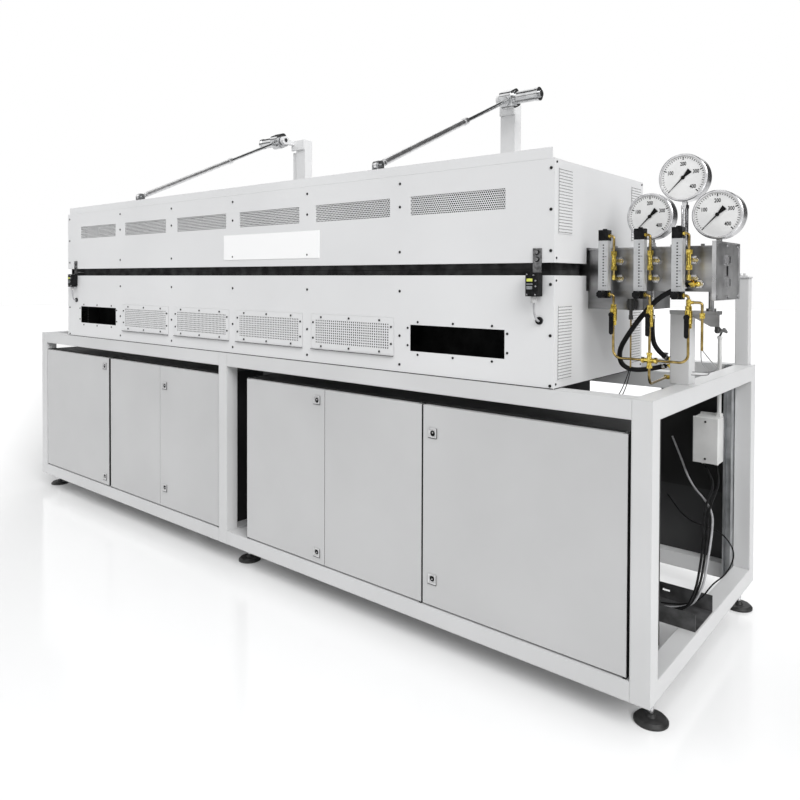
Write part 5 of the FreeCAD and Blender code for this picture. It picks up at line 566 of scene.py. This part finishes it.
# The louvred ends of the lid and the casing carry strips of perforated sheet with fine
# rows of holes, over a dark sheet that is painted shade behind the holes.
def end_vents(name, body, paint, rows, low):
    """Four strips, front and rear on both ends, and the dark sheet of painted shade behind each."""
    holes, across, up, hole = 18, 0.0052, 0.0097, 0.0034
    shade_thick, shade_wide, behind = 0.0004, 0.0916, 0.0009
    upright = Matrix(((0, 0, 1), (1, 0, 0), (0, 1, 0)))
    strips, shade_sheets = bmesh.new(), bmesh.new()
    for middle in (-0.4852, 0.0928):
        for wall, turn in ((1.5936, 0), (-1.5706, math.pi)):
            strip = punched(holes, rows, across, up, hole, stagger=False)
            bmesh.ops.translate(strip, vec=(-across * (holes - 1) / 2, 0, 0), verts=strip.verts)
            bmesh.ops.rotate(strip, cent=(0, 0, 0), matrix=Matrix.Rotation(turn, 3, "Z") @ upright,
                             verts=strip.verts)
            bmesh.ops.translate(strip, vec=(wall, middle, low), verts=strip.verts)
            held = bpy.data.meshes.new("strip")
            strip.to_mesh(held)
            strip.free()
            strips.from_mesh(held)
            bpy.data.meshes.remove(held)
            shade_sheet = bmesh.ops.create_cube(shade_sheets, size=1)
            bmesh.ops.scale(shade_sheets, vec=(shade_thick, shade_wide, up * rows - 0.002), verts=shade_sheet["verts"])
            shade_place = (wall - math.copysign(behind, wall), middle, low + up * rows / 2 - 0.0048)
            bmesh.ops.translate(shade_sheets, vec=shade_place, verts=shade_sheet["verts"])
    set_down(strips, name + "_vent_strips", body, paint)
    set_down(shade_sheets, name + "_vent_shade_sheets", body, vent_shade_sheet)


# Painted shade: near black sheets behind the vent holes.
vent_shade_sheet = finish("vent_shade_sheet", (0.01, 0.01, 0.01), (0.03, 0.03, 0.03), 0.01, 0.9, 0.001, 0.00005,
                    shine=0.1)
end_vents("lid", "lid", lid_paint, 21, 1.4405)
end_vents("casing", "base", casing_paint, 24, 0.9845)

# A thin black strip is painted shadow: the dark line where the casing stands on the frame
# and below the lip of each vent cover.
shadow_line_black = finish("shadow_line_black", (0.01, 0.01, 0.01), (0.025, 0.025, 0.025), 0.01, 0.6, 0.001, 0.00005, shine=0.1)
shadow_lines = bmesh.new()
strip_high, strip_deep, casing_foot = 0.0026, 0.0012, 0.9565
small_plate(shadow_lines, (0.0117, -0.5584, casing_foot), (3.158, strip_deep, strip_high))
small_plate(shadow_lines, (1.5926, -0.2, casing_foot), (strip_deep, 0.714, strip_high))
for k in range(4):
    small_plate(shadow_lines, (cover_x + window_pitch * k, -0.5634, 1.0118), (cover_wide, 0.0068, strip_high))
set_down(shadow_lines, "casing_shadow_lines", "base", shadow_line_black)


# Button head screws of black oxide steel hold the sheets, the covers and the edges of
# the lid and casing.
def screw_heads(name, body, places, radius, direction=(0, -1, 0)):
    """One piece of low domed heads that stand on a face, one at each place."""
    out, head_high, dome_high = Vector(direction), 0.0016, 0.0014
    heads = bmesh.new()
    for place in places:
        disc(heads, facing(direction, Vector(place) + out * head_high / 2), radius, head_high, 10)
        disc(heads, facing(direction, Vector(place) + out * (head_high + dome_high / 2)), radius, dome_high,
             10, top=radius * 0.55)
    set_down(heads, name, body, screw_black, smooth=True)


screw_black = finish("screw_black", (0.006, 0.006, 0.006), (0.02, 0.02, 0.02), 0.003, 0.35, 0.0008,
                     0.00003, shine=0.2)
dividers = [-0.9745 + window_pitch * k for k in range(5)]
sheet_edges = (-1.547, 1.58)
front, rear = -0.558, 0.158
large_head, middle_head, small_head = 0.005, 0.0042, 0.0036
lid_rows, casing_rows = (1.636, 1.5525, 1.39), (1.249, 1.088, 0.984)
screw_heads("lid_screws", "lid",
            [(x, front, z) for x in dividers for z in lid_rows]
            + [(x, front, z) for x in sheet_edges for z in (1.636, 1.509, 1.382)], large_head)
screw_heads("casing_screws", "base",
            [(x, front, z) for x in dividers for z in casing_rows]
            + [(x, front, z) for x in sheet_edges for z in (1.278, 1.12, 0.965)], large_head)
window_wide, beside_window, cover_front = 0.391, 0.0105, -0.5614
cover_screws = []
for k in range(6):
    left = -1.414 + window_pitch * k
    y = front if k in (0, 5) else cover_front
    cover_screws += [(left + window_wide * share, y, z)
                     for share in (0.09, 0.48, 0.88) for z in (1.1405, 1.0245)]
    cover_screws += [(x, y, z) for z in (1.056, 1.118)
                     for x in (left - beside_window, left + window_wide + beside_window)]
screw_heads("cover_screws", "base", cover_screws, middle_head)
for name, body, x, first_y, heights in (
    ("lid_end_screws", "lid", 1.592, -0.545, (1.655, 1.36)),
    ("casing_end_screws", "base", 1.592, -0.545, (1.29, 0.97)),
    ("lid_left_screws", "lid", -1.569, -0.548, (1.655, 1.5)),
    ("casing_left_screws", "base", -1.569, -0.548, (1.13, 0.97)),
):
    screw_heads(name, body, [(x, y, z) for y in (first_y, 0.145) for z in heights], small_head,
                (math.copysign(1, x), 0, 0))
screw_heads("rear_screws", "base", [(x, rear, z) for x in dividers for z in casing_rows], middle_head,
            (0, 1, 0))
screw_heads("lid_rear_screws", "lid", [(x, rear, z) for x in dividers for z in lid_rows], middle_head,
            (0, 1, 0))

# Ceramic fibre blocks line the hearth and lid, drawn near black as painted shade. The band of
# them in the gap is a lighter dark grey, also painted shade. The heating rods are pale fired ceramic.
fibre = finish("fibre", (0.004, 0.004, 0.004), (0.014, 0.014, 0.014), 0.05, 0.9, 0.0035, 0.0005, shine=0.1)
gap_low, gap_high = 1.27, 1.38
zone(fibre, (-3, -3, gap_low), (3, 3, gap_high), (0.022, 0.022, 0.022), (0.06, 0.06, 0.061), 0.75, 0.0)
coat(fibre, "hearth_insulation", "lid_insulation")
rod_ceramic = finish("rod_ceramic", (0.55, 0.5, 0.43), (0.72, 0.67, 0.6), 0.02, 0.7, 0.001, 0.0001)
coat(rod_ceramic, "heating_elements")

# The retort, its end cover, saddle and shelf are drawn stainless sheet, a little
# stained by heat near the furnace.
retort_steel = finish("retort_steel", (0.13, 0.13, 0.13), (0.42, 0.42, 0.425), 0.1, 0.3, 0.0012,
                      0.00004, metal=1.0, stretch=(0.3, 1, 1), soft_edge=0.001)
coat(retort_steel, "retort", "retort_supports")
cover_steel = finish("cover_steel", (0.38, 0.38, 0.385), (0.6, 0.6, 0.605), 0.06, 0.3, 0.001,
                     0.00004, metal=1.0, soft_edge=0.001)
coat(cover_steel, "retort_end_cover")

# Zinc plated fittings: lid hinges, lugs, key strips and hinge leaves. The two front key
# strips are darker, with a bright tongue down the middle.
zinc = finish("zinc", (0.36, 0.365, 0.37), (0.52, 0.53, 0.54), 0.012, 0.33, 0.001, 0.00005, metal=1.0)
for left in (-1.485, 1.52):
    zone(zinc, (left - 0.001, -0.563, 1.3), (left + 0.031, -0.557, 1.4),
         (0.14, 0.14, 0.142), (0.32, 0.32, 0.325), 0.3, 1.0)
    zone(zinc, (left + 0.008, -0.57, 1.34), (left + 0.022, -0.563, 1.4),
         (0.75, 0.75, 0.76), (0.85, 0.85, 0.86), 0.15, 1.0)
coat(zinc, "lid_hinges", "lid_brackets")

# The two lid lifting drives have cast cases, painted silver and hung on the masts by a
# pin. The push tubes that slide in them are polished steel.
drive_silver = finish("drive_silver", (0.5, 0.505, 0.51), (0.7, 0.705, 0.71), 0.03, 0.2, 0.0015,
                      0.0001, metal=1.0, soft_edge=0.001)
coat(drive_silver, "left_lift_drive", "right_lift_drive")
polished = finish("polished", (0.7, 0.7, 0.705), (0.85, 0.85, 0.855), 0.02, 0.34, 0.0008, 0.00002,
                  metal=1.0)
coat(polished, "left_push_tube", "right_push_tube")

# The safety switches are black moulded cases with a plain label, a grey plate and
# four bright screws, and a grey gland below.
switch_finish = finish("switch_finish", (0.006, 0.006, 0.006), (0.016, 0.016, 0.017), 0.01, 0.4,
                       0.0008, 0.00005, soft_edge=0.001, shine=0.08)
front_switches = (-1.492, 1.513)
face, end_face, gland_top = -0.5984, -1.6094, 1.2405
gland_tones = ((0.42, 0.42, 0.42), (0.55, 0.55, 0.55))
for left in front_switches:
    zone(switch_finish, (left, -0.61, 1.2), (left + 0.044, -0.555, gland_top), *gland_tones, 0.4, 0.0)
zone(switch_finish, (-1.61, -0.56, 1.2), (-1.57, -0.48, gland_top), *gland_tones, 0.4, 0.0)
coat(switch_finish, "safety_switches")
label_green = finish("label_green", (0.55, 0.6, 0.08), (0.7, 0.74, 0.16), 0.01, 0.4, 0.0006, 0.00002)
label_grey = finish("label_grey", (0.16, 0.17, 0.18), (0.3, 0.31, 0.32), 0.01, 0.4, 0.0006, 0.00002)

labels, plates, bolts, washers = bmesh.new(), bmesh.new(), bmesh.new(), bmesh.new()
for left in front_switches:
    small_plate(labels, (left + 0.016, face, 1.2915), (0.02, 0.001, 0.009))
    small_plate(plates, (left + 0.016, face, 1.279), (0.022, 0.001, 0.0035))
    small_plate(plates, (left + 0.0155, face, 1.268), (0.02, 0.001, 0.01))
    for dx, z in ((0.007, 1.3085), (0.03, 1.3065), (0.037, 1.29), (0.037, 1.272), (0.007, 1.2465),
                  (0.036, 1.2465)):
        disc(bolts, facing((0, -1, 0), (left + dx, face - 0.0002, z)), 0.0032, 0.0016, 12, top=0.0026)
small_plate(labels, (end_face, -0.514, 1.2915), (0.001, 0.02, 0.009))
small_plate(plates, (end_face, -0.514, 1.279), (0.001, 0.022, 0.0035))
for y in (-0.535, -0.505):
    for z in (1.3065, 1.2465):
        disc(bolts, facing((-1, 0, 0), (end_face - 0.0002, y, z)), 0.0026, 0.0016, 12, top=0.002)
for z in (1.3775, 1.3555):
    for direction, x, y in (((0, -1, 0), -1.47, -0.5625), ((0, -1, 0), 1.535, -0.5625),
                            ((-1, 0, 0), -1.5735, -0.52)):
        disc(washers, facing(direction, (x, y, z)), 0.0085, 0.001, 20)
set_down(washers, "key_washers", "lid", screw_black, smooth=True)
set_down(labels, "switch_labels", "base", label_green)
set_down(plates, "switch_plates", "base", label_grey)
set_down(bolts, "switch_screws", "base", bright_steel, smooth=True)

# The flowmeters are clear acrylic blocks with a tapered bore, a ball that floats in
# it and a printed scale, between black moulded ends.
acrylic = bpy.data.materials.new("acrylic")
acrylic.use_nodes = True
acrylic_tree = acrylic.node_tree
clear = acrylic_tree.nodes["Principled BSDF"]
clear.inputs["Transmission Weight"].default_value = 0.45
clear.inputs["IOR"].default_value = 1.49
smear = acrylic_tree.nodes.new("ShaderNodeTexNoise")
smear.inputs["Scale"].default_value = 60
smear_place = acrylic_tree.nodes.new("ShaderNodeTexCoord")
acrylic_tree.links.new(smear_place.outputs["Object"], smear.inputs["Vector"])
smear_gloss = acrylic_tree.nodes.new("ShaderNodeMapRange")
smear_gloss.inputs["To Min"].default_value = 0.06
smear_gloss.inputs["To Max"].default_value = 0.2
acrylic_tree.links.new(smear.outputs["Fac"], smear_gloss.inputs["Value"])
acrylic_tree.links.new(smear_gloss.outputs["Result"], clear.inputs["Roughness"])
tint = ramp(acrylic_tree, smear.outputs["Fac"], (0.68, 0.69, 0.7), (0.86, 0.87, 0.88), start=0, end=1)
acrylic_tree.links.new(tint, clear.inputs["Base Color"])
coat(acrylic, "flowmeter_blocks")
moulded_black = finish("moulded_black", (0.005, 0.005, 0.005), (0.014, 0.014, 0.015), 0.01, 0.35,
                       0.001, 0.00005, soft_edge=0.001, shine=0.08)
coat(moulded_black, "flowmeter_ends", "left_valve_lever", "middle_valve_lever", "right_valve_lever",
     "left_flowmeter_knob", "middle_flowmeter_knob", "right_flowmeter_knob")
ink = finish("ink", (0.005, 0.005, 0.005), (0.012, 0.012, 0.012), 0.01, 0.5, 0.001, 0.00002, shine=0.1)
scale_marks, floats, backs = bmesh.new(), bmesh.new(), bmesh.new()
scale_y, scale_foot, scale_pitch = -0.3852, 1.274, 0.0092
ball_radius, ball_y, ball_z = 0.0044, -0.3705, 1.268
for station in (1.672, 1.787, 1.902):
    for step in range(15):
        z = scale_foot + scale_pitch * step
        small_plate(scale_marks, (station + 0.0015, scale_y, z), (0.0046, 0.0003, 0.0036))
        if step % 5 == 0:
            small_plate(scale_marks, (station + 0.0085, scale_y, z), (0.0065, 0.0003, 0.0016))
    bmesh.ops.create_uvsphere(floats, u_segments=16, v_segments=10, radius=ball_radius,
                              matrix=Matrix.Translation((station, ball_y, ball_z)))
    small_plate(backs, (station, -0.3552, 1.338), (0.027, 0.0012, 0.154))
set_down(scale_marks, "flowmeter_scales", "base", ink)
set_down(floats, "flowmeter_balls", "base", bright_steel, smooth=True)
set_down(backs, "flowmeter_backs", "base", label_grey)

# Brass fittings, ball valves and bent brass tube lead from a cross to the flowmeters
# and the retort. The unions through the retort wall and the gauge seats are chromed,
# and the thermocouple head is black.
brass = finish("brass", (0.36, 0.24, 0.025), (0.92, 0.72, 0.18), 0.006, 0.16, 0.0008, 0.00004,
               metal=1.0, soft_edge=0.0008)
chrome_low, chrome_high = (1.6, -0.3325, 1.17), (2.1, -0.1, 1.7)
sensor_low, sensor_high = (1.72, -0.349, 1.105), (1.77, -0.29, 1.3)
zone(brass, chrome_low, chrome_high, (0.45, 0.45, 0.46), (0.7, 0.7, 0.71), 0.16, 1.0)
zone(brass, sensor_low, sensor_high, (0.012, 0.012, 0.012), (0.03, 0.03, 0.03), 0.35, 0.0)
coat(brass, "gas_fittings")
tube_brass = finish("tube_brass", (0.2, 0.135, 0.04), (0.48, 0.36, 0.14), 0.02, 0.2, 0.0008, 0.00003,
                    metal=1.0)
coat(tube_brass, "gas_tubes")


# The three pressure gauges have polished stainless cases and a white dial with black
# graduations and figures. Their black pointers rest at the start of the scale.
def lettering(shape, words, height, place):
    """Adds narrow upright figures that face the front to a bmesh, centred on a place."""
    text = bpy.data.curves.new("figures", "FONT")
    text.body = words
    text.size = height
    text.align_x = "CENTER"
    text.align_y = "CENTER"
    text.resolution_u = 2
    text.offset = height * 0.028
    holder = bpy.data.objects.new("figures", text)
    scene.collection.objects.link(holder)
    bpy.context.view_layer.update()
    flat = bpy.data.meshes.new_from_object(holder.evaluated_get(bpy.context.evaluated_depsgraph_get()))
    before = len(shape.verts)
    shape.from_mesh(flat)
    shape.verts.ensure_lookup_table()
    figures = shape.verts[before:]
    bmesh.ops.scale(shape, vec=(0.74, 1, 1), verts=figures)
    stand_up(shape, figures, place)
    bpy.data.objects.remove(holder)
    bpy.data.curves.remove(text)
    bpy.data.meshes.remove(flat)


gauge_steel = finish("gauge_steel", (0.5, 0.5, 0.51), (0.68, 0.68, 0.69), 0.02, 0.22, 0.0008, 0.00002,
                     metal=1.0, soft_edge=0.001)
coat(gauge_steel, "gauge_cases")
pointer_black = finish("pointer_black", (0.004, 0.004, 0.004), (0.01, 0.01, 0.01), 0.01, 0.5, 0.001,
                       0.00002, shine=0.1)
coat(pointer_black, "left_gauge_pointer", "middle_gauge_pointer", "right_gauge_pointer")
dial_white = finish("dial_white", (0.78, 0.78, 0.775), (0.84, 0.84, 0.835), 0.05, 0.4, 0.001, 0.00001)
dials, marks = bmesh.new(), bmesh.new()
dial_radius, scale_radius, figure_radius, figure_high = 0.0688, 0.0655, 0.043, 0.0175
dial_y, mark_y, figure_y = -0.2154, -0.2158, -0.2159
first_turn, mark_turn = -135, 6.75
for gauge_x, gauge_z in ((1.758, 1.501), (1.863, 1.619), (1.968, 1.496)):
    disc(dials, facing((0, -1, 0), (gauge_x, dial_y, gauge_z)), dial_radius, 0.0006, 64)
    for step in range(41):
        turn = math.radians(first_turn + mark_turn * step)
        reach = 0.0095 if step % 10 == 0 else 0.0065 if step % 5 == 0 else 0.005
        wide = 0.0032 if step % 10 == 0 else 0.0018
        mark = bmesh.ops.create_cube(marks, size=1)
        bmesh.ops.scale(marks, vec=(wide, 0.0003, reach), verts=mark["verts"])
        bmesh.ops.translate(marks, vec=(0, 0, scale_radius - reach / 2), verts=mark["verts"])
        bmesh.ops.rotate(marks, cent=(0, 0, 0), matrix=Matrix.Rotation(turn, 3, "Y"), verts=mark["verts"])
        bmesh.ops.translate(marks, vec=(gauge_x, mark_y, gauge_z), verts=mark["verts"])
    for step in (10, 20, 30, 40):
        turn = math.radians(first_turn + mark_turn * step)
        lettering(marks, str(10 * step), figure_high,
                  (gauge_x + figure_radius * math.sin(turn), figure_y,
                   gauge_z + figure_radius * math.cos(turn)))
set_down(dials, "gauge_dials", "base", dial_white)
set_down(marks, "gauge_marks", "base", ink)

# The junction box is pale grey moulded plastic with two captive screws in its lid. Its
# conduit is light grey and the knee under the shelf is black.
box_finish = finish("box_finish", (0.62, 0.62, 0.61), (0.7, 0.7, 0.69), 0.08, 0.45, 0.0015, 0.0001,
                    soft_edge=0.002)
zone(box_finish, (1.93, -0.2, 1.09), (1.99, -0.13, 1.2), (0.012, 0.012, 0.012), (0.03, 0.03, 0.03), 0.4, 0.0)
coat(box_finish, "junction_box")
screw_heads("box_screws", "base", [(1.76, 0.395, 0.732), (1.76, 0.395, 0.585)], middle_head)

# The slotted cable tray is folded steel, coated black, and lies on the bottom rails.
# The upright channel behind it, which the cables come down, is galvanised.
tray_finish = finish("tray_finish", (0.03, 0.03, 0.03), (0.09, 0.09, 0.092), 0.05, 0.35, 0.001,
                     0.00005, shine=0.4)
zone(tray_finish, (1.7, 0.4, -0.1), (1.9, 0.6, 1.2), (0.4, 0.41, 0.42), (0.58, 0.59, 0.6), 0.35, 0.9)
coat(tray_finish, "cable_tray")
